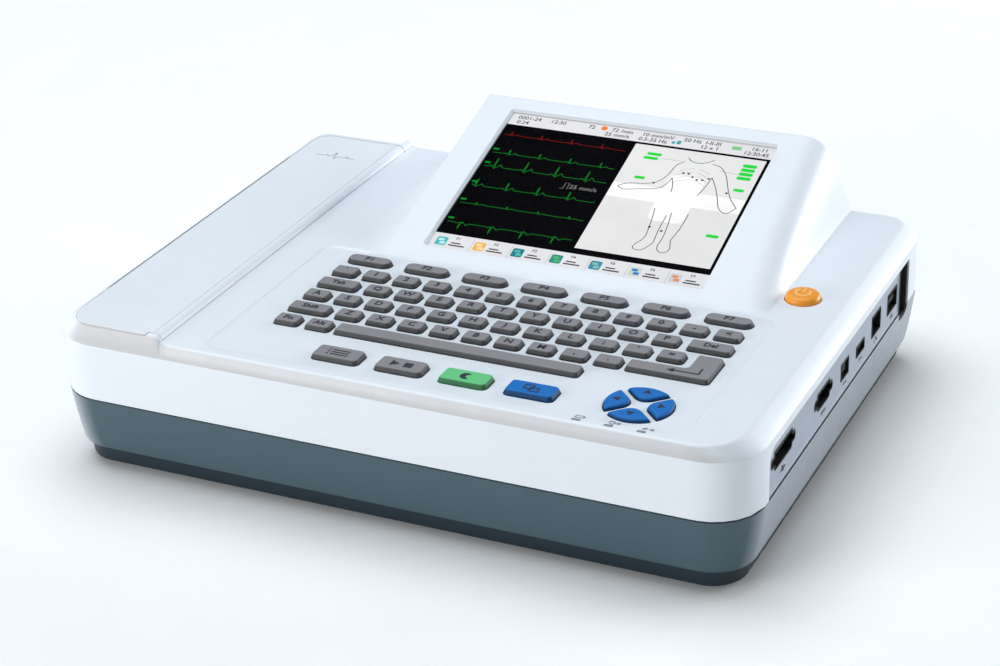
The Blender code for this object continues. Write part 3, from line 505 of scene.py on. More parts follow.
def slate_paint():
    """Slate paint whose colour is painted by the angle of view: nearly black blue-grey seen square on is painted
    shade, and light blue-grey at a grazing angle is a painted reflection.

    The stepped-in plinth has no coat and is painted darker: painted shade.
    """
    # The dark colour is painted shade and the light one a painted reflection; the middle one is the slate's own
    # colour.
    square_on_shade_tone, body, pale = (0.010, 0.030, 0.048), (0.041, 0.089, 0.112), (0.30, 0.33, 0.38)
    n = plastic("slate_paint", body, 0.42, 0.2, specular=0.4)
    facing = n.node("LayerWeight", Blend=0.5).outputs["Facing"]
    with_painted_shade = n.mix(n.ramp(facing, 0.0, 1.0, 0.09, 0.16), square_on_shade_tone, n.base)
    paint = n.mix(n.ramp(facing, 0.0, 1.0, 0.42, 0.78), with_painted_shade, pale)
    # Painted shade: below the step the plinth is painted darker.
    plinth_ends = (SHELL_LOW.z + 10.6) * MM, (SHELL_LOW.z + 12.0) * MM
    plinth = n.ramp(n.axes(n.place)[2], 1.0, 0.0, *plinth_ends)
    coat = n.maths("MULTIPLY", n.maths("SUBTRACT", 1.0, plinth), 0.3)
    n.shade(Base_Color=n.mix(plinth, paint, scaled(square_on_shade_tone, 0.7)), Coat_Weight=coat, Coat_Roughness=0.25)
    return n


def board(name, top_z):
    """A green circuit board whose black parts stand above top_z."""
    green = (0.02, 0.17, 0.08)
    n = plastic(name, green, 0.4)
    part = n.maths("GREATER_THAN", n.axes(n.place)[2], top_z * MM)
    tracks = n.ramp(n.noise(260.0, 1.0, (1.0, 0.15, 1.0)), 0.0, 1.0, 0.5, 0.53)
    laminate = n.mix(tracks, green, (0.03, 0.26, 0.12))
    n.shade(Base_Color=n.mix(part, laminate, (0.015, 0.015, 0.018)))
    return n


def wound_paper():
    """The wound edge of a paper roll: fine rings about its axis."""
    n = plastic("wound_paper", (0.84, 0.83, 0.80), 0.8, 0.2)
    roll = joint_place("paper_roll_spin") * MM
    x, _, z = n.axes(n.place)
    offsets = [n.maths("SUBTRACT", *pair) for pair in ((x, roll.x), (z, roll.z))]
    squares = [n.maths("MULTIPLY", offset, offset) for offset in offsets]
    radius = n.maths("SQRT", n.maths("ADD", *squares))
    rings = n.ramp(n.maths("SINE", n.maths("MULTIPLY", radius, 9000.0)), 0.0, 1.0, -1.0, 1.0)
    n.shade(Base_Color=n.mix(rings, (0.62, 0.60, 0.56), (0.86, 0.85, 0.82)))
    return n


def lens_sheet():
    """A thin anti-glare sheet: nearly clear, with the faintest haze of finger marks."""
    n = Nodes("lens_sheet")
    haze = n.noise(40.0, 4.0)
    alpha = n.ramp(haze, 0.03, 0.05, 0.4, 0.7)
    n.shade(Base_Color=(0.02, 0.02, 0.025), Roughness=n.ramp(haze, 0.10, 0.30, 0.4, 0.7), Alpha=alpha)
    n.shade(Specular_IOR_Level=0.04)
    return n


STEEL = (0.62, 0.63, 0.65)

# Plastics that need nothing special: name, colour, roughness, then grain and specular where they differ.
PLASTICS = {
    "slate_plain": ("slate_moulding", (0.06, 0.08, 0.10), 0.5),
    "silver": ("panel_paint", (0.35, 0.39, 0.47), 0.42, 0.3),
    "black": ("socket_nylon", (0.009, 0.009, 0.011), 0.6, 0.25, 0.25),
    "orange": ("orange_button", (0.90, 0.33, 0.02), 0.35, 0.15),
    "pale_orange": ("orange_mark", (1.0, 0.58, 0.22), 0.4, 0.1),
    "ink": ("legend_ink", (0.012, 0.014, 0.03), 0.6, 0.1),
    "print": ("grey_print", (0.24, 0.25, 0.27), 0.6, 0.1),
    "rubber": ("foot_rubber", (0.018, 0.018, 0.02), 0.8, 0.5, 0.25),
    "platen": ("platen_rubber", (0.03, 0.03, 0.032), 0.65, 0.4),
    "acetal": ("gear_acetal", (0.76, 0.74, 0.68), 0.45),
    "battery": ("battery_wrap", (0.04, 0.10, 0.28), 0.4),
    "paper": ("thermal_paper", (0.86, 0.85, 0.82), 0.75, 0.5),
    "card": ("core_card", (0.35, 0.24, 0.14), 0.85, 0.5),
    "light_pipe": ("light_pipe", (0.26, 0.28, 0.30), 0.25, 0.0),
    "screen": ("panel_glass", (0.01, 0.01, 0.012), 0.25, 0.1),
    "floor": ("floor_paper", (0.975, 0.975, 0.975), 0.85, 0.0, 0.05),
}


def make_looks():
    """Every material of the model, by the short name that show() takes."""
    made = {look: plastic(*values) for look, values in PLASTICS.items()}
    made["white"] = white_case()
    made["slate"] = slate_paint()
    made["key"] = key_rubber("key_rubber", (0.25, 0.242, 0.256))
    made["green"] = key_rubber("green_key", (0.13, 0.56, 0.22))
    made["blue"] = key_rubber("blue_key", (0.004, 0.15, 0.50))
    made["steel"] = brushed("bright_steel", STEEL, 0.28, (1.0, 0.05, 1.0))
    made["turned"] = brushed("turned_steel", STEEL, 0.25, (0.6, 2.0, 0.6))
    made["contact"] = brushed("dulled_contact", (0.16, 0.13, 0.08), 0.45, (1.0, 0.2, 1.0))
    made["paper_edge"] = wound_paper()
    made["keypad_board"] = board("keypad_laminate", span("keypad_board", 2)[1] + 1.0)
    made["main_board"] = board("main_laminate", span("main_board", 2)[0] + 1.65)
    made["supply_board"] = board("supply_laminate", span("power_supply", 2)[0] + 2.05)
    made["lens"] = lens_sheet()
    return {look: n.material for look, n in made.items()}


looks = make_looks()


# ---------------------------------------------------------------- keys: where each one stands
def key_layout():
    """Every row of keys: strip name to (centre, size, corner) of each key, read from the strips."""
    letter, wide, function = (14.8, 10.6), (24.5, 10.6), (27.4, 9.6)
    rows = {}

    def ends(node, first, last):
        """The strip's middle line, and where its end keys stand flush with its ends."""
        low, high = box_of(node)
        return (low.y + high.y) / 2, low.x + WEB_MARGIN + first[0] / 2, high.x - WEB_MARGIN - last[0] / 2

    even = (("function", 7), ("numbers", 13), ("home", 12), ("control", 2))
    for row, count in even:
        size, corner = (letter, KEY_RADIUS) if row != "function" else (function, function[1] / 2 - 0.1)
        y, first, last = ends(f"key_row_{row}", size, size)
        pitch = (last - first) / (count - 1)
        rows[f"key_row_{row}"] = [((first + pitch * i, y), size, corner) for i in range(count)]

    numbers = rows["key_row_numbers"]
    pitch = numbers[1][0][0] - numbers[0][0][0]
    stagger = 0.43
    y, tab, delete = ends("key_row_upper", wide, wide)
    after_tab = tab + wide[0] / 2 + (pitch - letter[0]) + letter[0] / 2 + stagger
    letters = [((after_tab + pitch * i, y), letter, KEY_RADIUS) for i in range(10)]
    rows["key_row_upper"] = [((tab, y), wide, KEY_RADIUS), *letters, ((delete, y), wide, KEY_RADIUS)]

    y, shift, last = ends("key_row_lower", wide, letter)
    letters = [((last - pitch * (8 - i), y), letter, KEY_RADIUS) for i in range(9)]
    rows["key_row_lower"] = [((shift, y), wide, KEY_RADIUS), *letters]
    rows["space_bar"] = [(*plan_of("space_bar", WEB_MARGIN), KEY_RADIUS)]
    return rows


KEYS = key_layout()
SPECIAL_KEYS = {"mode_key": "key", "start_stop_key": "key", "sleep_key": "green", "copy_key": "blue"}
SPECIAL_PLACES = {node: (*plan_of(node, SPECIAL_FLANGE), 3.0) for node in SPECIAL_KEYS}
PAD_KEYS = ("arrow_right", "arrow_up", "arrow_left", "arrow_down")
PAD_SLIT = 3.4
PAD_FLANGE = 0.8
PAD_LOW, PAD_HIGH = box_of("arrow_left")[0], box_of("arrow_right")[1]
PAD_CENTRE = ((PAD_LOW.x + PAD_HIGH.x) / 2, middle("arrow_right").y)
PAD_RADIUS = (PAD_HIGH.x - PAD_LOW.x) / 2 - PAD_FLANGE
POWER_FLANGE = 1.6
POWER_CENTRE, POWER_SIZE = plan_of("power_button")
POWER_RADIUS = POWER_SIZE[0] / 2 - POWER_FLANGE


def enter_outline(grow):
    """The L-shaped enter key, which takes the ends of two rows."""
    low, high = box_of("enter_key")
    x, y = grown((low.x, high.x), grow - WEB_MARGIN), grown((low.y, high.y), grow - WEB_MARGIN)
    inner_x = x[1] - 15.0 - 2 * grow
    inner_y = y[0] + 10.6 + 2 * grow
    outside, inside = max(KEY_RADIUS + grow, 0.3), max(2.0 - grow, 0.3)
    return filleted(
        [
            (x[0], y[0], outside),
            (x[1], y[0], outside),
            (x[1], y[1], outside),
            (inner_x, y[1], outside),
            (inner_x, inner_y, inside),
            (x[0], inner_y, outside),
        ]
    )


def pad_outline(direction, grow):
    """One leaf-shaped quarter of the round cursor pad, pointing in direction."""
    radius = PAD_RADIUS + grow
    slit = PAD_SLIT / 2 - grow
    half = RIGHT_ANGLE / 2 - math.asin(slit / radius)
    steps = 14
    arc = [polar(radius, half * (2 * i / steps - 1)) for i in range(steps + 1)]
    tip = max(2.4 + grow, 0.4)
    corners = [(*point, 0.0) for point in arc[1:-1]]
    corners += [(*arc[-1], tip), (slit * math.sqrt(2.0), 0.0, max(6.6 + grow, 1.0)), (*arc[0], tip)]
    return shifted(spun(filleted(corners, 5), direction), PAD_CENTRE)


def lamp_windows():
    """The centre and size of the light pipe's three small windows, in front of the keyboard."""
    low, high = box_of("light_pipe")
    y = (low.y + high.y) / 2 - 0.2
    first, last = low.x + 4.0, high.x - 4.0
    return [((first + (last - first) * i / 2, y), (4.6, 1.8)) for i in range(3)]


# ---------------------------------------------------------------- the white upper shell
def wall_point(x, y):
    """The point of the walls' outline that lies straight outwards from a point near the deck's edge."""
    radius = FRONT_RADIUS if y < 0 else REAR_RADIUS
    side, end = math.copysign(1, x), math.copysign(1, y)
    centre = Vector((side * (HALF_W - radius), end * (HALF_D - radius)))
    arm = Vector((x, y)) - centre
    past_x, past_y = arm.x * side > 0, arm.y * end > 0
    if past_x and past_y:
        return tuple(centre + arm.normalized() * radius)
    return (side * HALF_W, y) if past_x else (x, end * HALF_D)


def side_x(y, side, rear_y):
    """The deck's left or right edge at y, with its rounded corners, drawn in by the edge rounding."""
    left = side < 0
    inset = LID_RIM_INSET if left else DECK_INSET[1]
    straight = side * (HALF_W - inset - EDGE_ROUND)
    if y < 0:
        end, end_y = -1, -HALF_D + DECK_INSET[0] + EDGE_ROUND
        radius = FRONT_RADIUS - inset - EDGE_ROUND + (0.0 if left else 3.5)
    else:
        end, end_y = 1, rear_y
        radius = max(REAR_RADIUS - inset - EDGE_ROUND, 3.0) + (0.0 if left else 2.25)
    into = max((y - (end_y - end * radius)) * end, 0.0)
    return straight - side * (radius - math.sqrt(max(radius * radius - into * into, 0.0)))


def hump_rise(y):
    """How high the sloping face stands over the deck at y, eased over the crease."""
    past = y - CREASE_Y
    ease = 0.5
    return math.tan(FACE_TILT) * (past + math.sqrt(past * past + ease * ease)) / 2


def hump_share(y):
    """How far y lies from the crease to the hump's rear end, from 0 to 1."""
    return min(max((y - CREASE_Y) / (HUMP_END_Y - CREASE_Y), 0.0), 1.0)


def between(pair, share):
    return pair[0] + (pair[1] - pair[0]) * share


def bezier(pulls, t):
    """A point of the curve that the control points pull."""
    points = [Vector(pull) for pull in pulls]
    while len(points) > 1:
        points = [a.lerp(b, t) for a, b in zip(points, points[1:])]
    return tuple(points[0])


def deck_columns(y):
    """The cover's top surface cut across at y, from the lid's hinge to the deck's right end: (x, z)."""
    quarter, fillet, flank, shoulder = 8, 6, 10, 16
    barrel = [polar(BARREL_RADIUS, RIGHT_ANGLE * (1 - i / quarter)) for i in range(quarter)]
    columns = shifted(barrel, HINGE_AXIS)
    lip, foot = 1.5, HINGE.x + BARREL_RADIUS + 0.2
    for i in range(fillet + 1):
        t = i / fillet
        columns.append((foot + 5.0 * t, DECK_Z + lip * (1 - t) ** 2))
    rise, share = hump_rise(y), hump_share(y)
    base = between(FLANK_LEFT_X, share)
    columns += [(-120.0, DECK_Z), (-112.0, DECK_Z), (base - 5.0, DECK_Z)]
    for i in range(flank):
        t = i / flank
        columns.append((base + (FACE_LEFT_X - 0.5 - base) * t, DECK_Z + 0.985 * rise * t**1.55))
    face_z = DECK_Z + rise
    edge = min(0.25 * rise, 0.5)
    columns += [(FACE_LEFT_X - 0.45, face_z - edge), (FACE_LEFT_X - 0.12, face_z - 0.25 * edge)]
    right_top = between(FACE_RIGHT_X, share)
    columns += [(x, face_z) for x in (FACE_LEFT_X + 0.5, -55.0, 30.0, right_top - 8.0)]
    run = FLANK_RIGHT_X - right_top
    pulls = (
        (right_top, face_z),
        (right_top + 0.66 * run, face_z),
        (FLANK_RIGHT_X - 0.24 * run, DECK_Z + 0.42 * rise),
        (FLANK_RIGHT_X, DECK_Z),
    )
    columns += [bezier(pulls, i / shoulder) for i in range(shoulder + 1)]
    return columns + [(FLANK_RIGHT_X + 1.5, DECK_Z), (FLANK_RIGHT_X + 6.0, DECK_Z)]


def cover_rows():
    """The top surface as rows of points, front to rear; every row holds the same columns."""
    front = -HALF_D + DECK_INSET[0] + EDGE_ROUND
    arc = 23.0
    warp_from, end = 118.0, HUMP_END_Y - EDGE_ROUND
    rows_y = [front + arc - arc * math.cos(math.radians(a)) for a in (0, 14, 28, 42, 56, 70, 90)]
    rows_y += [-110.0, -85.0, -60.0, -35.0, -15.0, -8.0]
    rows_y += [CREASE_Y + d for d in (-1.4, -0.7, -0.3, 0.0, 0.3, 0.7, 1.4, 3.0, 8.0)]
    rows_y += [18.0, 36.0, 54.0, 72.0, 90.0, 106.0]
    rows_y += [between((warp_from, end), v) for v in (0.0, 0.3, 0.55, 0.7, 0.8, 0.88, 0.94, 0.98, 1.0)]
    lid_rear = HALF_D - LID_RIM_INSET - EDGE_ROUND
    deck_rear = HALF_D - DECK_INSET[2] - EDGE_ROUND
    left_deck, left_hump = FLANK_LEFT_X[1] - 5.5, FLANK_LEFT_X[1] + 8.0
    right_deck = FLANK_RIGHT_X + 1.0

    def warped(y, rear):
        """Rows past warp_from spread out or close up, so that the last one ends at rear."""
        return y if y <= warp_from else warp_from + (y - warp_from) / (end - warp_from) * (rear - warp_from)

    def rear_at(x):
        """Where the top surface ends behind x: the lid's rim, the deck's edge, or the hump's brow."""
        if x <= HINGE.x + 0.5:
            return lid_rear
        into = min(max((x - left_deck) / (left_hump - left_deck), 0.0), 1.0)
        out = min(max((right_deck - x) / 12.0, 0.0), 1.0)
        share = min(into, out)
        return deck_rear + (end - deck_rear) * share * share * (3 - 2 * share)

    rows = []
    for y in rows_y:
        left_y, right_y = warped(y, lid_rear), warped(y, deck_rear)
        left_x, right_x = side_x(left_y, -1, lid_rear), side_x(right_y, 1, deck_rear)
        row = [(left_x + (HINGE.x - 0.6 - left_x) * t, left_y, LID_TOP_Z) for t in (0.0, 0.3, 0.65)]
        for index, (x, _) in enumerate(deck_columns(y)):
            real_y = warped(y, rear_at(x))
            real_x, z = deck_columns(real_y)[index]
            row.append((real_x, real_y, z))
        last_x = row[-1][0]
        row += [(between((last_x, right_x), t), right_y, DECK_Z) for t in (0.35, 0.7, 1.0)]
        rows.append(row)
    return rows


def cover_profile(x, y, z):
    """Points from the deck's edge, round it, down the band and down the wall to the seam."""
    start = Vector((x, y, z))
    wall = Vector((*wall_point(x, y), WALL_TOP_Z))
    out = Vector((wall.x - x, wall.y - y, 0.0)).normalized()
    corner = start + out * EDGE_ROUND
    slope = (wall - corner).normalized()
    after = corner + slope * 1.6 * EDGE_ROUND
    points = [start]
    points += [start.lerp(corner, t).lerp(corner.lerp(after, t), t) for t in (0.2, 0.4, 0.6, 0.8, 1.0)]
    bulge = 0.25 + 1.05 * max(-out.x, 0.0) ** 2
    normal = out * -slope.z + Vector((0.0, 0.0, math.hypot(slope.x, slope.y)))
    points += [after.lerp(wall, t) + normal * bulge * 4 * t * (1 - t) for t in (0.25, 0.5, 0.75)]
    points.append(wall - slope * 0.5)
    points.append(wall - slope * 0.1 + Vector((0.0, 0.0, -0.05)))
    points += [wall - Vector((0.0, 0.0, depth)) for depth in (0.4, 8.0, 20.0)]
    lip = SEAM_Z + 0.35
    for height, inwards in ((0.5, 0.0), (0.15, 0.12), (0.0, 0.4)):
        points.append(Vector((wall.x, wall.y, lip + height)) - out * inwards)
    return points


def cover_body():
    rows = cover_rows()
    loop = rows[0] + [row[-1] for row in rows[1:]] + rows[-1][-2::-1] + [row[0] for row in rows[-2:0:-1]]
    rings = list(zip(*[cover_profile(*point) for point in loop]))
    build = bmesh.new()
    vertices = {}

    def vertex(point):
        key = tuple(round(c, 5) for c in point)
        if key not in vertices:
            vertices[key] = build.verts.new(Vector(point) * MM)
        return vertices[key]

    def face(*points):
        corners = list(dict.fromkeys(vertex(point) for point in points))
        if len(corners) > 2:
            build.faces.new(corners)

    for row, behind in zip(rows, rows[1:]):
        for i in range(len(row) - 1):
            face(row[i], row[i + 1], behind[i + 1], behind[i])
    for upper, lower in zip(rings, rings[1:]):
        for i in range(len(loop)):
            j = (i + 1) % len(loop)
            face(lower[i], lower[j], upper[j], upper[i])
    face(*reversed(rings[-1]))
    bmesh.ops.recalc_face_normals(build, faces=build.faces[:])
    return new_object("white_upper_shell", build)


def hump_hollow():
    """The space under the display hump."""
    first, last = CREASE_Y + 20.0, HUMP_END_Y - 4.0
    left, right_foot = FACE_LEFT_X - 12.0, FLANK_RIGHT_X - 5.0
    bottom = DECK_UNDER_Z - 5.0
    sections = []
    for i in range(6):
        y = first + (last - first) * i / 5
        top = DECK_Z + (y - CREASE_Y) * math.tan(FACE_TILT) - WALL / math.cos(FACE_TILT)
        outline = [
            (left, bottom),
            (left, DECK_UNDER_Z),
            (FACE_LEFT_X + 3.0, top),
            (between(FACE_RIGHT_X, hump_share(y)) - 1.0, top),
            (FLANK_RIGHT_X - 9.0, DECK_Z + 0.4 * (top - DECK_Z)),
            (right_foot, DECK_UNDER_Z),
            (right_foot, bottom),
        ]
        sections.append(lifted(outline, "y", y))
    return loft("hump_hollow", sections)


def flared_hole(outline_at, top_z, flare=0.35):
    """A tool for a hole through the deck whose upper edge is rounded."""
    levels = [(0.0, DECK_UNDER_Z - 3.0), *rounding(flare, top_z, 1.0, 3), (flare + 0.5, top_z + 0.8)]
    return levelled("hole", outline_at, "z", levels)


def key_holes():
    """One tool for every opening that a key, a button or a lamp comes up through."""
    clear = 0.4
    places = [place for row in (*KEYS.values(), SPECIAL_PLACES.values()) for place in row]
    tools = [flared_hole(lambda g, k=place: centred(*k, clear + g, 4), RECESS_Z) for place in places]
    tools.append(flared_hole(lambda g: enter_outline(clear + g), RECESS_Z))
    for quarter in range(len(PAD_KEYS)):
        leaf = RIGHT_ANGLE * quarter
        tools.append(flared_hole(lambda g, d=leaf: pad_outline(d, clear + g), RECESS_Z))
    tools.append(flared_hole(lambda g: disc(POWER_CENTRE, POWER_RADIUS + clear + g), DECK_Z))
    for lamp in lamp_windows():
        tools.append(flared_hole(lambda g, k=lamp: centred(*k, 0.8, 0.2 + g, 4), DECK_Z, 0.2))
    return joined("holes", tools)


def key_recess():
    """A tool for the shallow recess round the keyboard, whose edge is a soft step."""
    levels = (
        (-1.0, RECESS_Z),
        (-0.45, RECESS_Z + 0.08),
        (-0.1, RECESS_Z + 0.3),
        (0.1, DECK_Z - 0.35),
        (0.35, DECK_Z - 0.12),
        (0.8, DECK_Z),
        (1.3, DECK_Z + 0.35),
    )
    return levelled(
        "recess", lambda g: rectangle(grown(RECESS_X, g), grown(RECESS_Y, g), 7.0 + g, 8), "z", levels
    )


def window_outline(grow):
    return rectangle(grown(SCREEN_X, grow), grown(SCREEN_S, grow), max(1.2 + grow, 0.3), 4)


def lid_outline(front_y, right_x, grow, steps=10):
    """The lid's plan outline, rounded on its left, from a front edge to a straight right edge."""
    radii = (LID_FRONT_RADIUS - (front_y - LID_LOW.y) + grow, 0.0, 0.0, LID_REAR_RADIUS + grow)
    x, y = (LID_LOW.x - grow, right_x + grow), (front_y - grow, LID_HIGH.y + grow)
    return four_corners(x, y, radii, steps)


def lid_openings():
    """Tools for the paper well under the lid, the lid's seat round it, and the slot the paper leaves by."""
    below, above = 60.0, LID_TOP_Z + 5.0
    well = (below, above)
    rebate_z = (LID_TOP_Z - WALL - GAP, above)
    rebate = prism("rebate", lid_outline(LID_LOW.y, SKIN_END, LID_GAP), "z", rebate_z)
    knuckle_y = (LID_LOW.y - 2.0, BARREL_FRONT_Y)
    cut(rebate, prism("knuckle", disc(HINGE_AXIS, BARREL_RADIUS + 1.0), "y", knuckle_y))
    slot_x = (span("tear_bar", 0)[0] - GAP, LID_LOW.x)
    return (
        prism("lid_opening", lid_outline(BARREL_FRONT_Y, HINGE.x + BARREL_RADIUS, GAP), "z", well),
        rebate,
        box("paper_slot", slot_x, grown(span("tear_bar", 1), 2.0), well),
    )


def make_cover():
    cover = cover_body()
    walls = (WALL,) * 3
    deck = tuple(inset + WALL + 1.0 for inset in DECK_INSET)
    levels = ((walls, SEAM_Z - 5.0), (walls, WALL_TOP_Z - 1.0), (deck, DECK_UNDER_Z))
    hollow = levelled("hollow", case_outline, "z", levels)
    cut(cover, add(hollow, hump_hollow()))
    right = HINGE.x + BARREL_RADIUS + GAP
    well_y = (-153.0, 150.0)
    well_z = (span("paper_bin", 2)[0] + 60.0, DECK_UNDER_Z + 1.0)
    add(cover, box("well_wall", (right - 1.0, right + WALL), well_y, well_z))
    window_levels = ((-0.4, -9.0), (-0.4, -1.3), (0.0, -1.1), (1.0, -0.2), (1.4, 0.02), (2.2, 1.0))
    panel_y = (span("port_panel", 1)[0] - GAP, span("side_slot_insert", 1)[1] + GAP)
    panel_z = (SEAM_Z - 6.0, span("port_panel", 2)[1] + GAP)
    panel = four_corners(panel_y, panel_z, (0.0, 0.0, 2.0, 9.0), 8)
    latch = rectangle(grown(span("lid_latch", 1), 0.4), grown(span("lid_latch", 2), 0.4), 2.4)
    cut(
        cover,
        *lid_openings(),
        key_recess(),
        key_holes(),
        face_levels("window", window_outline, window_levels),
        prism("panel_opening", panel, "x", (HALF_W - 8.0, HALF_W + 3.0)),
        prism("latch_hole", latch, "x", (-HALF_W - 2.0, -HALF_W + 6.0)),
    )
    show_solid(cover, "white", "top_cover", crease=32.0)


# ---------------------------------------------------------------- the slate lower tray
def make_lower_shell():
    bottom = SHELL_LOW.z
    floor_z = bottom + 3.0
    plinth_z = bottom + 10.1
    inset = 9.3
    rows = (
        (inset + 1.6, bottom),
        (inset + 0.5, bottom + 0.5),
        (inset, bottom + 1.6),
        (inset - 0.75, plinth_z - 0.6),
        (inset - 0.9, plinth_z),
        (inset - 1.3, plinth_z + 0.35),
        (6.2, plinth_z + 0.6),
        (5.4, plinth_z + 0.9),
        (4.9, plinth_z + 1.9),
        (3.3, plinth_z + 10.0),
        (1.75, plinth_z + 20.0),
        (0.22, SEAM_Z - 1.4),
        (0.2, SEAM_Z - 0.45),
        (0.32, SEAM_Z - 0.3),
        (1.4, SEAM_Z - 0.3),
    )
    shell = levelled("slate_lower_tray", tray_outline, "z", rows)
    hollow_rows = ((inset + 3.0, floor_z), (8.2, plinth_z + 2.0), (3.4, SEAM_Z + 4.0))
    rear = (HALF_D - 14.0, HALF_D + 2.0)
    slot_y = span("side_slot_insert", 1)
    notch_z = (span("side_slot_insert", 2)[0] - GAP, SEAM_Z + 5.0)
    notch = four_corners(grown(slot_y, GAP), notch_z, (5.0, 5.0, 0.0, 0.0))
    vent_places = [(10.0 * i - 60.0, 28.0) for i in range(11)]
    vents = [prism("vent", centred(place, (3.0, 20.0), 1.4), "y", rear) for place in vent_places]
    bore = ((4.6, 0.0), (4.5, bottom + 0.3), (4.2, bottom + 0.8), (4.2, floor_z + 2.0))
    boss = ((5.6, floor_z - 1.0), (5.2, floor_z + 3.0), (5.0, SEAM_Z - 8.0))
    screws = [plan_of(f"case_screw_{number}")[0] for number in range(1, 5)]
    cut(shell, levelled("hollow", tray_outline, "z", hollow_rows))
    add(shell, joined("bosses", [turned("boss", screw, "z", boss, 32) for screw in screws]))
    door = rectangle(grown(span("battery_door", 0), 0.4), grown(span("battery_door", 1), 0.4), 3.0)
    cut(
        shell,
        joined("vents", vents),
        joined("bores", [turned("bore", screw, "z", bore, 32) for screw in screws]),
        prism("battery_opening", door, "z", (0.0, 8.0)),
        prism("inlet_hole", centred(*plan_of("mains_inlet", axes=(0, 2)), 2.0, GAP), "y", rear),
        prism("earth_hole", disc(plan_of("earth_post", axes=(0, 2))[0], 4.3), "y", rear),
        prism("slot_notch", notch, "x", (HALF_W - 9.0, HALF_W + 3.0)),
    )
    show_solid(shell, "slate", "lower_shell", crease=32.0)
    # A tongue inside the seam keeps light and dust out.
    outer, inner = 2.9, 3.9
    low, high = SEAM_Z - 3.0, SEAM_Z + 2.4
    levels = ((outer, low), (outer, high), (inner, high), (inner, low), (outer, low))
    tongue = levelled("seam_tongue", tray_outline, "z", levels, capped=False)
    gap = rectangle(grown(slot_y, 1.0), grown((low, high), 5.0))
    cut(tongue, prism("tongue_gap", gap, "x", (HALF_W - 14.0, HALF_W + 6.0)))
    show_solid(tongue, "slate_plain")


# ---------------------------------------------------------------- legends and keys
LEGEND_Z = KEY_TOP_Z - 0.1
LEGENDS = {
    "key_row_function": [f"F{number}" for number in range(1, 8)],
    "key_row_numbers": list("`1234567890-<"),
    "key_row_upper": ["Tab", *"QWERTYUIOP", "Del"],
    "key_row_home": list("ASDFGHJKL;'="),
    "key_row_lower": ["Shift", *"ZXCVBNM,."],
    "key_row_control": ["Fn", "Alt"],
}


def text_mesh(content, centre, z, size, depth, thicken):
    """Flat letters standing a little proud of a level surface."""
    curve = bpy.data.curves.new("letters", "FONT")
    curve.body = content
    curve.size = size * MM
    curve.align_x = "CENTER"
    curve.align_y = "CENTER"
    curve.extrude = depth / 2 * MM
    curve.offset = thicken * MM
    curve.resolution_u = 3
    letters = linked("letters", curve)
    letters.location = Vector((*centre, z)) * MM
    mesh = evaluated_mesh(letters)
    mesh.transform(letters.matrix_world)
    bpy.data.objects.remove(letters)
    return linked("letters", mesh)


def raised(outline, z=LEGEND_Z, depth=0.16):
    """A flat mark that stands a little proud of a level surface."""
    return prism("mark", outline, "z", about(z, depth / 2))


def framed(x, y, width, z=LEGEND_Z):
    """A rectangle drawn as a line of the given width."""
    low, high = about(z, 0.08)
    levels = ((0.0, low), (0.0, high), (-width, high), (-width, low), (0.0, low))
    return levelled("frame", lambda g: rectangle(grown(x, g), grown(y, g)), "z", levels, capped=False)


def dished_cap(outline_at):
    """A moulded key cap: straight neck, sloping sides, rounded top edge, and a shallow dish."""
    levels = (
        (0.0, WEB_Z[0] + 0.6),
        (0.0, KEY_SHOULDER_Z - 0.25),
        (-0.04, KEY_SHOULDER_Z),
        (-0.62, KEY_TOP_Z - 0.75),
        (-0.85, KEY_TOP_Z - 0.3),
        (-1.15, KEY_TOP_Z - 0.06),
        (-1.5, KEY_TOP_Z),
        (-2.2, KEY_TOP_Z - 0.05),
        (-3.2, KEY_TOP_Z - 0.16),
    )
    return levelled("cap", outline_at, "z", levels)


def make_key_rows():
    for node, keys in KEYS.items():
        caps = [box("web", span(node, 0), span(node, 1), WEB_Z, 0.4)]
        caps += [dished_cap(lambda g, k=key: centred(*k, g, 5)) for key in keys]
        show_solid(joined(node + "_rubber", caps), "key", node, crease=50.0)
        marks = []
        for legend, (centre, _, _) in zip(LEGENDS.get(node, ()), keys):
            height = {1: 6.4, 2: 6.2}.get(len(legend), 5.6)
            marks.append(text_mesh(legend, centre, LEGEND_Z, height, 0.16, 0.12))
        if marks:
            show(joined(node + "_legends", marks), "ink", body=BODIES[node])


def enter_mark():
    """A bent return arrow."""
    x, y = span("enter_key", 0)[1] - 8.4, span("enter_key", 1)[0] + 6.2
    return [
        raised(rectangle((x - 14.0, x + 1.0), about(y, 0.45))),
        raised(rectangle(about(x + 0.6, 0.45), (y, y + 6.5))),
        raised([(x - 17.0, y), (x - 13.0, y - 2.0), (x - 13.0, y + 2.0)]),
    ]


def moon_outline(centre, radius):
    """A crescent: most of a circle, closed by an arc that bows inwards."""
    steps = 16
    bow = 2.85 * radius
    outline = [polar(radius, math.radians(50 + 260 * i / steps)) for i in range(steps + 1)]
    start, end = Vector(outline[0]), Vector(outline[-1])
    for i in range(1, steps):
        t = i / steps
        outline.append(tuple(end.lerp(start, t) - Vector((bow * t * (1 - t), 0.0))))
    return shifted(outline, centre)


def special_marks(node):
    """A plain symbol for each special key."""
    x, y = SPECIAL_PLACES[node][0]
    if node == "mode_key":
        marks = []
        for line_y in (y - 2.4, y, y + 2.4):
            marks.append(raised(rectangle((x - 4.0, x + 6.0), about(line_y, 0.42))))
            marks.append(raised(disc((x - 5.8, line_y), 0.6, 12)))
        return marks
    if node == "start_stop_key":
        triangle = [(x - 6.0, y - 2.8), (x - 1.2, y), (x - 6.0, y + 2.8)]
        return [raised(triangle), raised(rectangle((x + 1.6, x + 6.4), about(y, 2.4)))]
    if node == "sleep_key":
        return [raised(moon_outline((x, y), 3.3))]
    rear = framed((x - 4.6, x + 0.8), (y - 1.4, y + 3.6), 0.7)
    front = framed((x - 1.2, x + 4.4), (y - 3.6, y + 1.0), 0.7)
    return [rear, front]


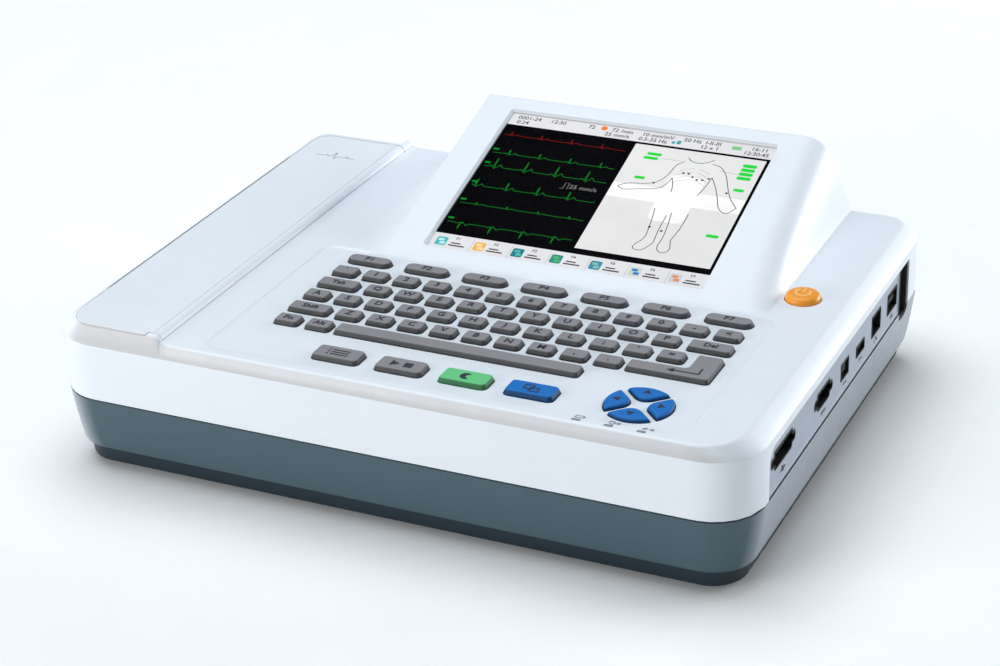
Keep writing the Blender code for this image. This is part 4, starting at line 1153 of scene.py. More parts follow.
def show_key(node, look, flange, cap, marks):
    """One key: its cap, the flange that holds it under the deck, and its symbol."""
    key = joined(node + "_cap", [prism("flange", flange, "z", WEB_Z), cap])
    show_solid(key, look, node, crease=50.0)
    show(joined(node + "_symbol", marks), "ink", body=BODIES[node])


def make_special_keys():
    for node, look in SPECIAL_KEYS.items():
        place = SPECIAL_PLACES[node]
        cap = dished_cap(lambda g, k=place: centred(*k, g, 6))
        show_key(node, look, centred(*place, SPECIAL_FLANGE), cap, special_marks(node))
    show_key("enter_key", "key", enter_outline(WEB_MARGIN), dished_cap(enter_outline), enter_mark())


def make_cursor_pad():
    levels = (
        (0.0, WEB_Z[0] + 0.6),
        (0.0, KEY_SHOULDER_Z - 0.3),
        (-0.12, KEY_SHOULDER_Z + 0.1),
        (-0.45, KEY_SHOULDER_Z + 0.5),
        (-1.1, KEY_SHOULDER_Z + 0.95),
        (-1.9, KEY_SHOULDER_Z + 1.2),
        (-3.0, KEY_SHOULDER_Z + 1.3),
    )
    tip = 0.66 * PAD_RADIUS
    arrow = [(tip - 1.4, -2.3), (tip - 1.4, 2.3), (tip + 2.4, 0.0)]
    for quarter, node in enumerate(PAD_KEYS):
        direction = RIGHT_ANGLE * quarter
        cap = levelled("cap", lambda g, d=direction: pad_outline(d, g), "z", levels)
        mark = raised(shifted(spun(arrow, direction), PAD_CENTRE), KEY_SHOULDER_Z + 1.32)
        show_key(node, "blue", pad_outline(direction, 0.7), cap, [mark])


def ring_arc(centre, radius, width, ends, z, steps=24):
    """A flat arc of a ring between two angles in degrees."""
    angles = [math.radians(between(ends, i / steps)) for i in range(steps + 1)]
    outer = [polar(radius + width / 2, angle) for angle in angles]
    inner = [polar(radius - width / 2, angle) for angle in reversed(angles)]
    return raised(shifted(outer + inner, centre), z, 0.3)


def make_power_button():
    low, top = span("power_button", 2)
    rim = POWER_RADIUS + POWER_FLANGE
    dome = 3.0
    profile = [(rim, low), (rim, low + 1.2), (POWER_RADIUS, low + 1.3)]
    for angle in range(0, 90, 15):
        turn = math.radians(angle)
        radius = POWER_RADIUS - dome * (1 - math.cos(turn))
        profile.append((radius, top - dome + (dome - 0.35) * math.sin(turn)))
    profile += [(POWER_RADIUS - 4.5, top - 0.22), (3.0, top - 0.16), (0.4, top - 0.15)]
    button = turned("power_button_dome", POWER_CENTRE, "z", profile, 80)
    show_solid(button, "orange", "power_button", crease=50.0)
    x, y = POWER_CENTRE
    z = top - 0.16
    arc = ring_arc(POWER_CENTRE, 4.1, 1.1, (125, 415), z)
    stem = raised(rectangle(about(x, 0.55), (y + 0.6, y + 5.6), 0.5, 3), z, 0.3)
    show(joined("power_symbol", [arc, stem]), "pale_orange", body=BODIES["power_button"])


def lamp_marks():
    """A small printed mark behind each lamp: a battery, a ring, and a charging flash."""
    z, depth = DECK_Z + 0.03, 0.12
    places = [(x + 0.8, y + 3.1) for (x, y), _ in lamp_windows()]
    marks = [framed(about(places[0][0], 2.4), about(places[0][1], 1.3), 0.5, z)]
    marks.append(ring_arc(places[1], 1.5, 0.55, (0, 358), z, 20))
    for half in (((-1.2, -1.6), (1.8, 0.3), (-0.2, 0.3)), ((1.2, 1.8), (-1.8, -0.1), (0.2, -0.1))):
        marks.append(raised(shifted(half, places[2]), z, depth))
    ends = ((2.4, 3.1, 0.6), (2.2, 4.4, 0.9), (2.6, 4.8, 0.9))
    for (x, y), (near, far, half) in zip(places, ends):
        marks.append(raised(rectangle((x + near, x + far), about(y, half)), z, depth))
    return marks


def make_lamps():
    """The light pipe's rail, and the three tips that fill its windows."""
    x, y, z = [span("light_pipe", axis) for axis in range(3)]
    levels = [(0.0, z[0] + 1.0), *rounding(0.35, z[1])]
    pipe = [box("rail", x, y, (z[0], z[0] + 2.2), 0.4)]
    for lamp in lamp_windows():
        pipe.append(levelled("tip", lambda g, k=lamp: centred(*k, 0.7, g, 4), "z", levels))
    show_solid(joined("status_light_pipe", pipe), "light_pipe", "light_pipe")
    show(joined("status_light_marks", lamp_marks()), "print")


# ---------------------------------------------------------------- the display
# The picture's own coordinates are u to the right and v upwards, from its lower left corner.
PICTURE_Z = -3.1
LAYER = 0.03
PICTURE_W = SCREEN_X[1] - SCREEN_X[0]
PICTURE_H = SCREEN_S[1] - SCREEN_S[0]
HEADER_V = 121.5
FOOTER_V = 15.0
DIAGRAM_U = (85.3, 167.3)
DIAGRAM_V = (19.6, 119.6)
BRIGHT_BAND_V = (69.0, 82.0)
TRACE_U = (2.5, 81.5)


def picture(name, pieces, colour, strength=1.0):
    """Shows one part of the picture in its own glowing colour."""
    looks[name] = glowing(name, colour, strength).material
    show(joined(name, pieces), name)


def on_screen(u, v, level, rise=0.0):
    """A point of the picture. Higher levels lie on top."""
    return on_face(SCREEN_X[0] + u, SCREEN_S[0] + v, PICTURE_Z + LAYER * level + rise)


def flat(outline, level):
    return loft("area", [[on_screen(u, v, level, rise) for u, v in outline] for rise in (0.0, 0.02)])


def patch(u, v, level=0, radius=0.0):
    return flat(rectangle(u, v, radius, 4), level)


def dot(u, v, radius, level=4):
    return flat(disc((u, v), radius, 20), level)


def stroke(points, width, level=3):
    """A line of the picture through (u, v) points."""
    build = bmesh.new()
    pairs = []
    for i, point in enumerate(points):
        before = Vector(points[max(i - 1, 0)])
        after = Vector(points[min(i + 1, len(points) - 1)])
        along = (after - before).normalized()
        across = Vector((-along.y, along.x)) * width / 2
        sides = (Vector(point) - across, Vector(point) + across)
        pairs.append([build.verts.new(Vector(on_screen(*side, level)) * MM) for side in sides])
    for (lower, upper), (next_lower, next_upper) in zip(pairs, pairs[1:]):
        build.faces.new((lower, next_lower, next_upper, upper))
    return new_object("stroke", build)


def rounded_line(points):
    """Cuts the corners of a line twice, which leaves it smooth."""
    for _ in range(2):
        pairs = list(zip(points, points[1:]))
        inner = [tuple(Vector(a).lerp(Vector(b), t)) for a, b in pairs for t in (0.25, 0.75)]
        points = [points[0], *inner, points[-1]]
    return points


def heartbeat(t):
    """The height of an ECG trace at phase t of a beat: P wave, QRS complex, T wave."""
    waves = (
        (0.40, 0.028, 0.12),
        (0.50, 0.010, -0.14),
        (0.525, 0.012, 1.0),
        (0.555, 0.012, -0.24),
        (0.72, 0.040, 0.28),
    )
    return sum(height * math.exp(-((t - at) ** 2) / (2 * width**2)) for at, width, height in waves)


def trace(v, amplitude, phase):
    """One lead's trace across the dark half of the picture, four beats long."""
    steps = 480
    shares = [i / steps for i in range(steps + 1)]
    points = [(between(TRACE_U, t), v + amplitude * heartbeat((4 * t + phase) % 1.0)) for t in shares]
    return stroke(points, 0.36)


def text_on_screen(content, u, v, size):
    """Small generic lettering of the picture."""
    made = text_mesh(content, (0.0, 0.0), 0.0, size, 0.02, 0.05)
    place = Matrix.Translation(Vector(on_screen(u, v, 3)) * MM)
    made.data.transform(place @ Matrix.Rotation(FACE_TILT, 4, "X"))
    return made


def body_lines():
    """A plain schematic of a chest with two arms, and two lower legs."""
    neck = [(121, 113), (124, 110), (129, 109), (134, 111), (137, 114)]
    flanks = ([(118, 93), (121, 86), (122, 80)], [(141, 98), (140, 88), (138, 80)])
    left_arm = [(120, 109), (116, 105), (115, 95), (111, 87), (104, 84), (94, 83), (89, 79)]
    left_arm_under = [(89, 79), (93, 76), (103, 79), (113, 81), (117, 86), (118, 93)]
    right_arm = [(137, 110), (143, 109), (149, 101), (153, 91), (158, 81), (164, 74)]
    right_arm_under = [(141, 98), (146, 90), (151, 79), (154, 71), (160, 67), (164, 74)]
    left_leg = [(118, 64), (120, 54), (121, 45), (122, 37), (117, 29), (119, 26), (124, 26), (128, 34)]
    left_leg_inside = [(128, 34), (127, 45), (127, 59)]
    right_leg = [(129, 62), (131, 50), (132, 39), (131, 30), (135, 26), (140, 29), (137, 38)]
    right_leg_inside = [(137, 38), (139, 50), (139, 63)]
    arms = (left_arm, left_arm_under, right_arm, right_arm_under)
    legs = (left_leg, left_leg_inside, right_leg, right_leg_inside)
    return [stroke(rounded_line(line), 0.5) for line in (*arms, neck, *flanks, *legs)]


def chest_lines():
    """Faint ribs on either side of the breastbone."""
    ribs = []
    for i in range(4):
        for side in (-1, 1):
            arc = [(129.5 + side * x, 104.0 - 3.6 * i - 0.045 * x * x) for x in (1.5, 4.0, 7.0, 9.5)]
            ribs.append(stroke(rounded_line(arc), 0.35))
    return ribs


def make_picture_traces():
    rows = ((25.5, -6.0, 0.1), (43.5, 2.2, 0.0), (60.5, 7.0, 0.4), (79.5, 9.0, 0.2), (93.0, 4.5, 0.0))
    green = []
    for v, amplitude, phase in rows:
        green += [trace(v, amplitude, phase), patch((1.6, 5.2), (v + 2.6, v + 4.2), 3)]
    picture("picture_traces", green, (0.005, 0.29, 0.02), 0.9)
    picture("picture_rhythm_trace", [trace(111.0, 3.6, 0.3)], (0.30, 0.010, 0.006), 0.9)
    step = [(56, 69), (58, 69), (58, 74.5), (60.5, 74.5), (60.5, 69)]
    scale = [text_on_screen("25 mm/s", 70.0, 71.5, 5.0), stroke(step, 0.4)]
    picture("picture_scale", scale, (0.26, 0.23, 0.23), 0.9)


def make_picture_diagram():
    """The chest and legs schematic on its pale ground, with lead points and their tags."""
    middle_u = (DIAGRAM_U[0] + DIAGRAM_U[1]) / 2
    picture("picture_diagram_ground", [patch(DIAGRAM_U, DIAGRAM_V, 1)], (0.82, 0.82, 0.82))
    band_low, band_high = BRIGHT_BAND_V
    chest = patch((middle_u - 10.0, middle_u + 12.0), (band_low - 16.0, band_high + 14.0), 2, 5.0)
    picture("picture_diagram_light", [patch(DIAGRAM_U, BRIGHT_BAND_V, 2), chest], (1.0, 1.0, 1.0))
    picture("picture_body_lines", body_lines(), (0.09, 0.09, 0.10), 0.9)
    picture("picture_rib_lines", chest_lines(), (0.52, 0.52, 0.55), 0.9)
    points = [(123.0 + 3.3 * i, v) for i, v in enumerate((98.5, 98.5, 96.0, 94.0, 94.5, 96.5))]
    points += [(109, 86), (154, 86), (121, 47), (129, 45)]
    picture("picture_lead_points", [dot(u, v, 0.8) for u, v in points], (0.02, 0.02, 0.02), 0.9)
    places = ((100, 112, 9), (99, 108, 9), (99, 89, 6.5), (160, 90, 6.5), (159, 47, 7.5))
    tags = [patch(about(u, width / 2), about(v, 1.3), 3, 0.9) for u, v, width in places]
    tags += [patch((155.0, 163.5), (99.6 + 3.9 * i, 102.6 + 3.9 * i), 3, 1.0) for i in range(4)]
    picture("picture_lead_tags", tags, (0.02, 0.72, 0.06))
    pointers = [stroke([(106, 109), (118, 109)], 0.3), stroke([(143, 105), (155, 104)], 0.3)]
    picture("picture_pointers", pointers, (0.35, 0.35, 0.36), 0.9)


def make_status_bar():
    """The status line over the picture: generic numbers and units, and three small signs."""
    upper, lower = HEADER_V + 7.6, HEADER_V + 3.1
    status = (
        ("0001-24", 12.0, upper),
        ("12:30", 31.0, upper),
        ("0:24", 9.0, lower),
        ("72", 53.0, upper),
        ("72 /min", 73.0, upper),
        ("25 mm/s", 71.0, lower),
        ("10 mm/mV", 96.0, upper),
        ("0.5-35 Hz", 94.0, lower),
        ("50 Hz", 118.0, upper),
        ("I-II-III", 131.0, upper),
        ("12 x 1", 130.0, lower),
        ("16-11", 160.0, upper),
        ("12:30:45", 159.0, lower),
    )
    picture("picture_alert", [dot(61.0, HEADER_V + 8.0, 2.0)], (0.95, 0.22, 0.04))
    link = patch((109.0, 111.6), (HEADER_V + 2.6, HEADER_V + 6.0), 3, 0.5)
    picture("picture_link_sign", [dot(107.0, HEADER_V + 3.6, 1.2), link], (0.06, 0.38, 0.42))
    charge = patch((143.0, 149.0), (HEADER_V + 4.6, HEADER_V + 8.0), 3, 0.8)
    picture("picture_charge_sign", [charge], (0.25, 0.60, 0.30))
    return [text_on_screen(content, u, v, 4.6) for content, u, v in status]


def make_soft_keys():
    """The row of seven icons under the picture; each is a coloured tile with a plain mark."""
    icons = (
        ((0.08, 0.52, 0.55), (0.55, 0.85, 0.85)),
        ((0.95, 0.48, 0.10), (1.0, 0.80, 0.45)),
        ((0.02, 0.22, 0.30), (0.10, 0.50, 0.42)),
        ((0.03, 0.30, 0.24), (0.10, 0.45, 0.20)),
        ((0.06, 0.28, 0.48), (0.25, 0.55, 0.42)),
        ((0.60, 0.70, 0.62), (0.03, 0.22, 0.65)),
        ((0.62, 0.66, 0.72), (0.85, 0.28, 0.08)),
    )
    pitch = (PICTURE_W - 2.0) / len(icons)
    labels, dividers = [], []
    for i, (ground, mark) in enumerate(icons):
        left = 2.0 + pitch * i
        labels.append(text_on_screen(f"F{i + 1}", left + 14.0, FOOTER_V - 3.6, 3.0))
        labels.append(stroke([(left + 10.0, 5.2), (left + 20.0, 5.2)], 1.1))
        labels.append(stroke([(left + 11.0, 7.3), (left + 17.0, 7.3)], 1.0))
        if i:
            dividers.append(patch((left - 0.25, left), (1.5, FOOTER_V - 2.0), 2))
        tile = patch((left + 1.2, left + 8.2), (4.0, 11.4), 3, 1.2)
        picture(f"picture_icon_{i + 1}", [tile], ground)
        upper = patch((left + 2.4, left + 6.0), (8.0, 10.0), 4, 0.4)
        lower = patch((left + 4.0, left + 7.4), (5.2, 7.4), 4, 0.4)
        picture(f"picture_icon_mark_{i + 1}", [upper, lower], mark)
    picture("picture_dividers", dividers, (0.45, 0.45, 0.48))
    return labels


def make_picture_bars():
    """The grey bars above and below the picture, and everything on them."""
    across = grown((0.0, PICTURE_W), 1.0)
    bars = [patch(across, (HEADER_V, PICTURE_H + 1.0), 1), patch(across, (-1.0, FOOTER_V - 0.4), 1)]
    picture("picture_bars", bars, (0.80, 0.80, 0.83))
    picture("picture_small_print", make_status_bar() + make_soft_keys(), (0.05, 0.05, 0.06), 0.9)


def make_display():
    dressed("display_panel", "screen")
    sheet = face_levels("display_cover_sheet", window_outline, ((-0.5, -2.7), (-0.5, -2.0)))
    show_solid(soften(sheet, 0.15, 2), "lens", "display_lens")
    everywhere = patch(grown((0.0, PICTURE_W), 1.0), grown((0.0, PICTURE_H), 1.0))
    picture("picture_ground", [everywhere], (0.001, 0.001, 0.0015))
    make_picture_bars()
    make_picture_diagram()
    make_picture_traces()


# ---------------------------------------------------------------- the sockets on the right-hand side
# The D-shaped sockets, with the number of contacts in their upper row; the lower row has one fewer.
D_SOCKETS = {"ecg_socket": 8, "serial_socket": 5}
SOCKETS = (*D_SOCKETS, "usb_b_socket", "usb_a_socket", "lan_socket", "auxiliary_socket")


def d_outline(centre, size, grow=0.0):
    """A D-shaped connector with a screw lug at each end, wider at the top than at the bottom."""
    half_w, half_h = size[0] / 2, size[1] / 2
    ear, tall = half_h * 0.52 + grow, half_h + grow
    wide, shoulder = half_w + grow, half_w - 4.6 + grow
    taper = 1.5
    right = [(shoulder - taper, -tall, 2.2), (shoulder, -ear, 0.5), (wide, -ear, 2.6)]
    right += [(wide, ear, 2.6), (shoulder, ear, 0.5), (shoulder, tall, 1.6)]
    left = [(-y, z, radius) for y, z, radius in reversed(right)]
    return shifted(filleted(right + left, 5), centre)


def socket_outline(node, grow):
    centre, size = plan_of(node, axes=(1, 2))
    return d_outline(centre, size, grow) if node in D_SOCKETS else centred(centre, size, 0.7, grow, 4)


def socket_shell(node, face_x):
    """A hollow socket body with a rounded rim."""
    levels = (
        (0.0, face_x - 11.0),
        (0.0, face_x - 0.3),
        (-0.3, face_x),
        (-0.8, face_x),
        (-1.0, face_x - 0.25),
        (-1.0, face_x - 8.0),
    )
    return levelled("shell", lambda grow: socket_outline(node, grow), "x", levels)


def socket_inside(node, face_x):
    """The block inside a socket, and the contacts that stand on it."""
    (y, z), (width, height) = plan_of(node, axes=(1, 2))
    half_w, half_h = width / 2, height / 2

    def inside(name, depths, places, size, bevel=0.0):
        """Boxes that reach between two depths behind the face, round places in it."""
        x = (face_x - depths[0], face_x - depths[1])
        return [box(name, x, about(py, size[0]), about(pz, size[1]), bevel) for py, pz in places]

    if node in D_SOCKETS:
        block = prism("block", d_outline(*plan_of(node, 2.6, (1, 2))), "x", (face_x - 9.0, face_x - 4.0))
        count = D_SOCKETS[node]
        pitch = 2 * (half_w - 8.0) / (count - 1)
        rows = ((count, z + 1.5), (count - 1, z - 1.5))
        places = [(y + pitch * (i - (number - 1) / 2), pz) for number, pz in rows for i in range(number)]
        pin_x = (face_x - 5.0, face_x - 3.4)
        return [block], [prism("pin", disc(place, 0.55, 12), "x", pin_x) for place in places]
    if node == "lan_socket":
        top = z + half_h
        wires = [(y + 1.1 * (i - 3.5), top - 4.9) for i in range(8)]
        block = inside("block", (9.0, 2.0), [(y, top - 3.4)], (half_w - 3.0, 1.2), 0.2)
        return block, inside("wire", (8.0, 2.2), wires, (0.2, 0.2))
    tongue = half_h * (0.42 if node == "usb_b_socket" else 0.24)
    contacts = [(y + (half_w - 3.6) * (2 * i / 3 - 1), z - tongue) for i in range(4)]
    block = inside("block", (9.0, 1.4), [(y, z)], (half_w - 2.6, tongue), 0.2)
    return block, inside("contact", (7.0, 1.6), contacts, (0.5, 0.1))


def make_sockets():
    face_x = span("ecg_socket", 0)[1]
    pins = []
    for node in SOCKETS:
        block, contacts = socket_inside(node, face_x)
        moulding = joined(node + "_moulding", [socket_shell(node, face_x), *block])
        show_solid(moulding, "black", node)
        pins += contacts
    show_solid(joined("socket_contacts", pins), "contact")


def socket_symbol(node, y, z, x):
    """A small line symbol under each socket."""

    def bar(y_span, z_span):
        return prism("bar", rectangle(y_span, z_span), "x", about(x, 0.06))

    if node == "ecg_socket":
        heights = (0.0, 0.0, 0.5, 0.0, 2.2, -1.0, 0.0, 0.8, 0.0, 0.0)
        line = []
        for i, pair in enumerate(zip(heights, heights[1:])):
            line.append(bar((y - 5.0 + i, y - 3.7 + i), (z + min(pair) - 0.2, z + max(pair) + 0.2)))
        return line
    if node == "serial_socket":
        return [bar(about(y - 3.0 + 2.0 * i, 0.6), about(z, 0.9)) for i in range(4)]
    if node == "lan_socket":
        places = ((-2.4, -1.0), (2.4, -1.0), (0.0, 1.1))
        squares = [bar(about(y + dy, 0.8), about(z + dz, 0.7)) for dy, dz in places]
        return [*squares, bar(about(y, 2.4), about(z, 0.15))]
    if node == "auxiliary_socket":
        return [bar(about(y, 2.6), about(z + dz, 0.25)) for dz in (-0.9, 0.0, 0.9)]
    stem = bar((y - 3.2, y + 2.4), about(z, 0.22))
    return [stem, bar((y + 2.0, y + 3.4), about(z, 0.7)), bar((y - 1.2, y - 0.2), (z, z + 1.2))]


def make_port_panel():
    (inner_x, face_x), y, z = [span("port_panel", axis) for axis in range(3)]

    def outline(grow):
        return four_corners(grown(y, grow), grown(z, grow), (0.4, 0.4, 0.6, 9.0 + grow), 10)

    levels = (
        (0.0, inner_x),
        (0.0, face_x - 0.3),
        (-0.12, face_x - 0.08),
        (-0.4, face_x),
        (-1.5, face_x),
        (-1.8, face_x - 0.35),
    )
    panel = levelled("port_panel_plate", outline, "x", levels)
    through = grown((inner_x, face_x), 2.0)
    holes = [prism("hole", socket_outline(node, GAP), "x", through) for node in SOCKETS]
    cut(panel, joined("holes", holes))
    show_solid(panel, "silver", "port_panel")
    marks = []
    for node in SOCKETS:
        (mark_y, middle_z), (_, height) = plan_of(node, axes=(1, 2))
        mark_z = min(middle_z - height / 2 - 3.4, z[0] + 6.0)
        marks += socket_symbol(node, mark_y, mark_z, face_x - 0.33)
    show(joined("port_symbols", marks), "ink")


def make_side_slot():
    (inner_x, face_x), y, z = [span("side_slot_insert", axis) for axis in range(3)]

    def outline(grow):
        return four_corners(grown(y, grow), grown(z, grow), (5.4 + grow, 5.4 + grow, 1.0, 1.0), 8)

    levels = (
        (0.0, inner_x),
        (0.0, face_x - 0.4),
        (-0.35, face_x),
        (-1.7, face_x),
        (-2.3, face_x - 0.7),
        (-2.6, inner_x + 2.5),
    )
    show_solid(levelled("side_slot_moulding", outline, "x", levels), "black", "side_slot_insert")


# ---------------------------------------------------------------- the paper lid and the printer
SHAFT_BORE = 3.1
CORE_RADIUS = 6.5


def radius_of(node):
    low, high = span(node, 2)
    return (high - low) / 2


def make_lid():
    under, top = LID_TOP_Z - WALL, LID_TOP_Z
    levels = (
        (-0.15, under),
        (0.0, under + 0.2),
        (0.0, top - 0.55),
        (-0.1, top - 0.25),
        (-0.3, top - 0.07),
        (-0.65, top),
    )
    skin = levelled("paper_lid_skin", lambda g: lid_outline(LID_LOW.y, SKIN_END - g, g, 12), "z", levels)
    lid_y = (BARREL_FRONT_Y, LID_HIGH.y)
    knuckle = disc(HINGE_AXIS, BARREL_RADIUS + 1.0 + GAP, 96)
    cut(skin, prism("knuckle_gap", knuckle, "y", (LID_LOW.y - 2.0, BARREL_FRONT_Y)))
    add(
        skin,
        box("hinge_edge", (SKIN_END - 4.0, HINGE.x), lid_y, (under, top)),
        turned("barrel", HINGE_AXIS, "y", chamfered(lid_y, BARREL_RADIUS, 0.3)),
    )
    gear_y, roller_y = span("platen_gear", 1)[0], span("platen_roller", 1)[0]
    left, right = about(PLATEN.x, 5.4)
    foot_z, root_z = PLATEN.z - 5.4, top - 1.5
    arm = [(left, foot_z, 5.0), (right, foot_z, 5.0), (PLATEN.x + 14.0, root_z, 0.0), (left, root_z, 0.0)]
    for y in ((roller_y - 6.5, roller_y - 3.5), (gear_y - 4.2, gear_y - 1.2)):
        add(skin, soften(prism("arm", filleted(arm), "y", y), 0.3, 2))
    rib_places = (-168.0, -152.0)
    rib_y = grown((LID_LOW.y + 2.8, LID_HIGH.y), -12.0)
    for x in rib_places:
        add(skin, box("rib", about(x, 1.0), rib_y, (top - 6.0, root_z), 0.25))
    bore_front_y, pin_bore = -125.0, 1.45
    groove_x, groove_depth = about(HINGE.x - 0.7, 0.22), 0.45
    cut(
        skin,
        prism("pin_bore", disc(HINGE_AXIS, pin_bore, 32), "y", grown(lid_y, 2.0)),
        prism("shaft_bore", disc(PLATEN_AXIS, SHAFT_BORE, 48), "y", (bore_front_y, gear_y)),
        box("groove", groove_x, grown(lid_y, 5.0), (top - groove_depth, top + 1.0)),
    )
    show_solid(skin, "white", "paper_lid", crease=30.0)
    pin = turned("hinge_pin_rod", HINGE_AXIS, "y", chamfered(span("lid_hinge_pin", 1), 1.3, 0.4), 32)
    show_solid(pin, "steel", "lid_hinge_pin")


def make_lid_pulse():
    """A small printed pulse line, in the place where a maker would put a name."""
    flats = ((0.0, 0.0), (7.0, 0.0), (9.0, 2.0), (11.0, 0.0), (13.0, 0.0))
    beat = ((15.0, 8.0), (17.5, -4.5), (19.5, 0.0), (24.0, 0.0), (26.0, 2.6), (28.0, 0.0), (34.0, 0.0))
    start = Vector((LID_LOW.x + 13.0, 0.69 * LID_HIGH.y + 12.0))
    points = [start + Vector(point) * 0.8 for point in (*flats, *beat)]
    half, overlap = 0.28, 0.15
    build = bmesh.new()
    for a, b in zip(points, points[1:]):
        along = (b - a).normalized()
        across = Vector((-along.y, along.x)) * half
        a, b = a - along * overlap, b + along * overlap
        corners = (a - across, b - across, b + across, a + across)
        build.faces.new([build.verts.new(Vector((*corner, LID_TOP_Z + 0.02)) * MM) for corner in corners])
    show(new_object("lid_pulse_mark", build), "print", body="lid")


def make_printer():
    roller_y = span("platen_roller", 1)
    outside = chamfered(roller_y, radius_of("platen_roller"), 0.5)
    profile = [(SHAFT_BORE, roller_y[0]), *outside, (SHAFT_BORE, roller_y[1])]
    show_solid(turned("platen_roller_rubber", PLATEN_AXIS, "y", profile), "platen", "platen_roller")
    rod = turned("platen_shaft_rod", PLATEN_AXIS, "y", chamfered(span("platen_shaft", 1), 3.0, 0.6), 48)
    show_solid(rod, "steel", "platen_shaft")

    roll = joint_place("paper_roll_spin")
    axis = (roll.x, roll.z)
    roll_y = span("paper_roll", 1)
    sides = turned("sides", axis, "y", chamfered(roll_y, radius_of("paper_roll"), 0.3), 128)
    cut(sides, prism("core", disc(axis, CORE_RADIUS, 48), "y", grown(roll_y, 5.0)))
    show_solid(sides, "paper_edge", "paper_roll")
    outer, inner = CORE_RADIUS - 0.05, CORE_RADIUS - 1.2
    near, far = grown(roll_y, 0.4)
    levels = ((outer, near), (outer, far), (inner, far), (inner, near), (outer, near))
    tube = levelled("paper_roll_core", lambda radius: disc(axis, radius, 48), "y", levels, capped=False)
    show_solid(tube, "card", body="roll")
    rod = turned("roll_spindle_rod", axis, "y", chamfered(span("roll_spindle", 1), 4.8, 0.8, 0.6), 48)
    show_solid(rod, "acetal", "roll_spindle")

    pinion = joint_place("pinion_spin")
    front, back = span("feed_motor", 1)
    can = radius_of("feed_motor")
    bell, flange = chamfered((front, back), can, 0.8), can - 0.3
    waist = [(can, front + 5.0), (flange, front + 5.3), (flange, back - 4.3), (can, back - 4.0)]
    motor = turned("feed_motor_can", (pinion.x, pinion.z), "y", [*bell[:2], *waist, *bell[2:]])
    show_solid(motor, "turned", "feed_motor")


def make_paper_web():
    """The paper between the roll and the slot, with its edge showing at the slot."""
    roll, radius = joint_place("paper_roll_spin"), radius_of("paper_roll")
    head_z, tear_x = span("print_head", 2)[1], span("tear_bar", 0)[1]
    path = [
        (roll.x - 0.5, roll.z + radius + 0.12),
        (roll.x - 4.0, roll.z + radius + 0.5),
        (PLATEN.x + 6.5, head_z - 0.2),
        (PLATEN.x + 3.0, head_z + 0.10),
        (PLATEN.x, head_z + 0.14),
        (PLATEN.x - 4.2, head_z + 1.6),
        (PLATEN.x - 7.4, head_z + 5.6),
        (tear_x + 1.0, head_z + 12.0),
        (tear_x + 0.8, span("tear_bar", 2)[1] - 2.0),
    ]
    y = grown(span("paper_roll", 1), -2.0)
    columns = 12
    build = bmesh.new()
    rows = []
    for x, z in rounded_line(path):
        points = [Vector((x, between(y, i / columns), z)) for i in range(columns + 1)]
        rows.append([build.verts.new(point * MM) for point in points])
    for row, after in zip(rows, rows[1:]):
        for i in range(columns):
            build.faces.new((row[i], row[i + 1], after[i + 1], after[i]))
    web = new_object("paper_web", build)
    thickness = web.modifiers.new("thickness", "SOLIDIFY")
    thickness.thickness = 0.08 * MM
    web.data.polygons.foreach_set("use_smooth", [True] * len(web.data.polygons))
    show(web, "paper")


# ---------------------------------------------------------------- rear, underside and inside
def make_rear():
    x, (_, face_y), z = [span("mains_inlet", axis) for axis in range(3)]

    def outline(grow):
        radius = max(2.0 + grow, 0.4)
        return four_corners(grown(x, grow), grown(z, grow), (radius, radius, radius + 1.6, radius + 1.6))

    steps = ((0.0, -20.0), (0.0, -0.5), (-0.4, 0.0), (-1.6, 0.0), (-2.0, -0.4), (-2.2, -15.0))
    levels = [(grow, face_y + depth) for grow, depth in steps]
    show_solid(levelled("mains_inlet_moulding", outline, "y", levels), "black", "mains_inlet")
    inlet = middle("mains_inlet")
    blade_y = (face_y - 16.0, face_y - 4.0)
    blades = []
    for dx, dz in ((-7.0, -1.5), (0.0, 2.5), (7.0, -1.5)):
        blades.append(box("blade", about(inlet.x + dx, 1.0), blade_y, about(inlet.z + dz, 2.0), 0.3))
    show_solid(joined("mains_inlet_blades", blades), "steel")
    end_y = span("earth_post", 1)[1]
    stud = ((6.5, -16.0), (6.5, -8.0), (4.0, -7.9), (4.0, -2.6), (3.6, -2.3), (3.0, -2.2), (3.0, -0.5))
    profile = [(radius, end_y + depth) for radius, depth in (*stud, (2.5, 0.0))]
    post = turned("earth_post_stud", plan_of("earth_post", axes=(0, 2))[0], "y", profile, 48)
    show_solid(post, "turned", "earth_post")


def make_feet():
    for corner in ("front_left", "front_right", "rear_left", "rear_right"):
        node = f"foot_{corner}"
        centre, (width, _) = plan_of(node)
        radius = width / 2
        profile = (
            (0.6, 0.25),
            (4.2, 0.25),
            (4.6, 0.05),
            (radius - 2.4, 0.0),
            (radius - 1.4, 0.06),
            (radius - 0.5, 0.5),
            (radius, 1.2),
            (radius, span(node, 2)[1]),
        )
        show_solid(turned(node + "_pad", centre, "z", profile, 64), "rubber", node, crease=50.0)


def make_screws():
    for number in range(1, 5):
        node = f"case_screw_{number}"
        centre, (width, _) = plan_of(node)
        low, high = span(node, 2)
        head = width / 2
        under = low + 3.0
        profile = (
            (head - 1.2, low),
            (head - 0.4, low + 0.25),
            (head, low + 0.8),
            (head, under),
            (1.7, under + 0.01),
            (1.7, high - 0.6),
            (1.2, high),
        )
        screw = turned(node + "_turned", centre, "z", profile, 48)
        for half_x, half_y in ((2.2, 0.45), (0.45, 2.2)):
            slot_z = (low - 1.0, low + 1.6)
            cut(screw, box("slot", about(centre[0], half_x), about(centre[1], half_y), slot_z))
        show_solid(screw, "steel", node)


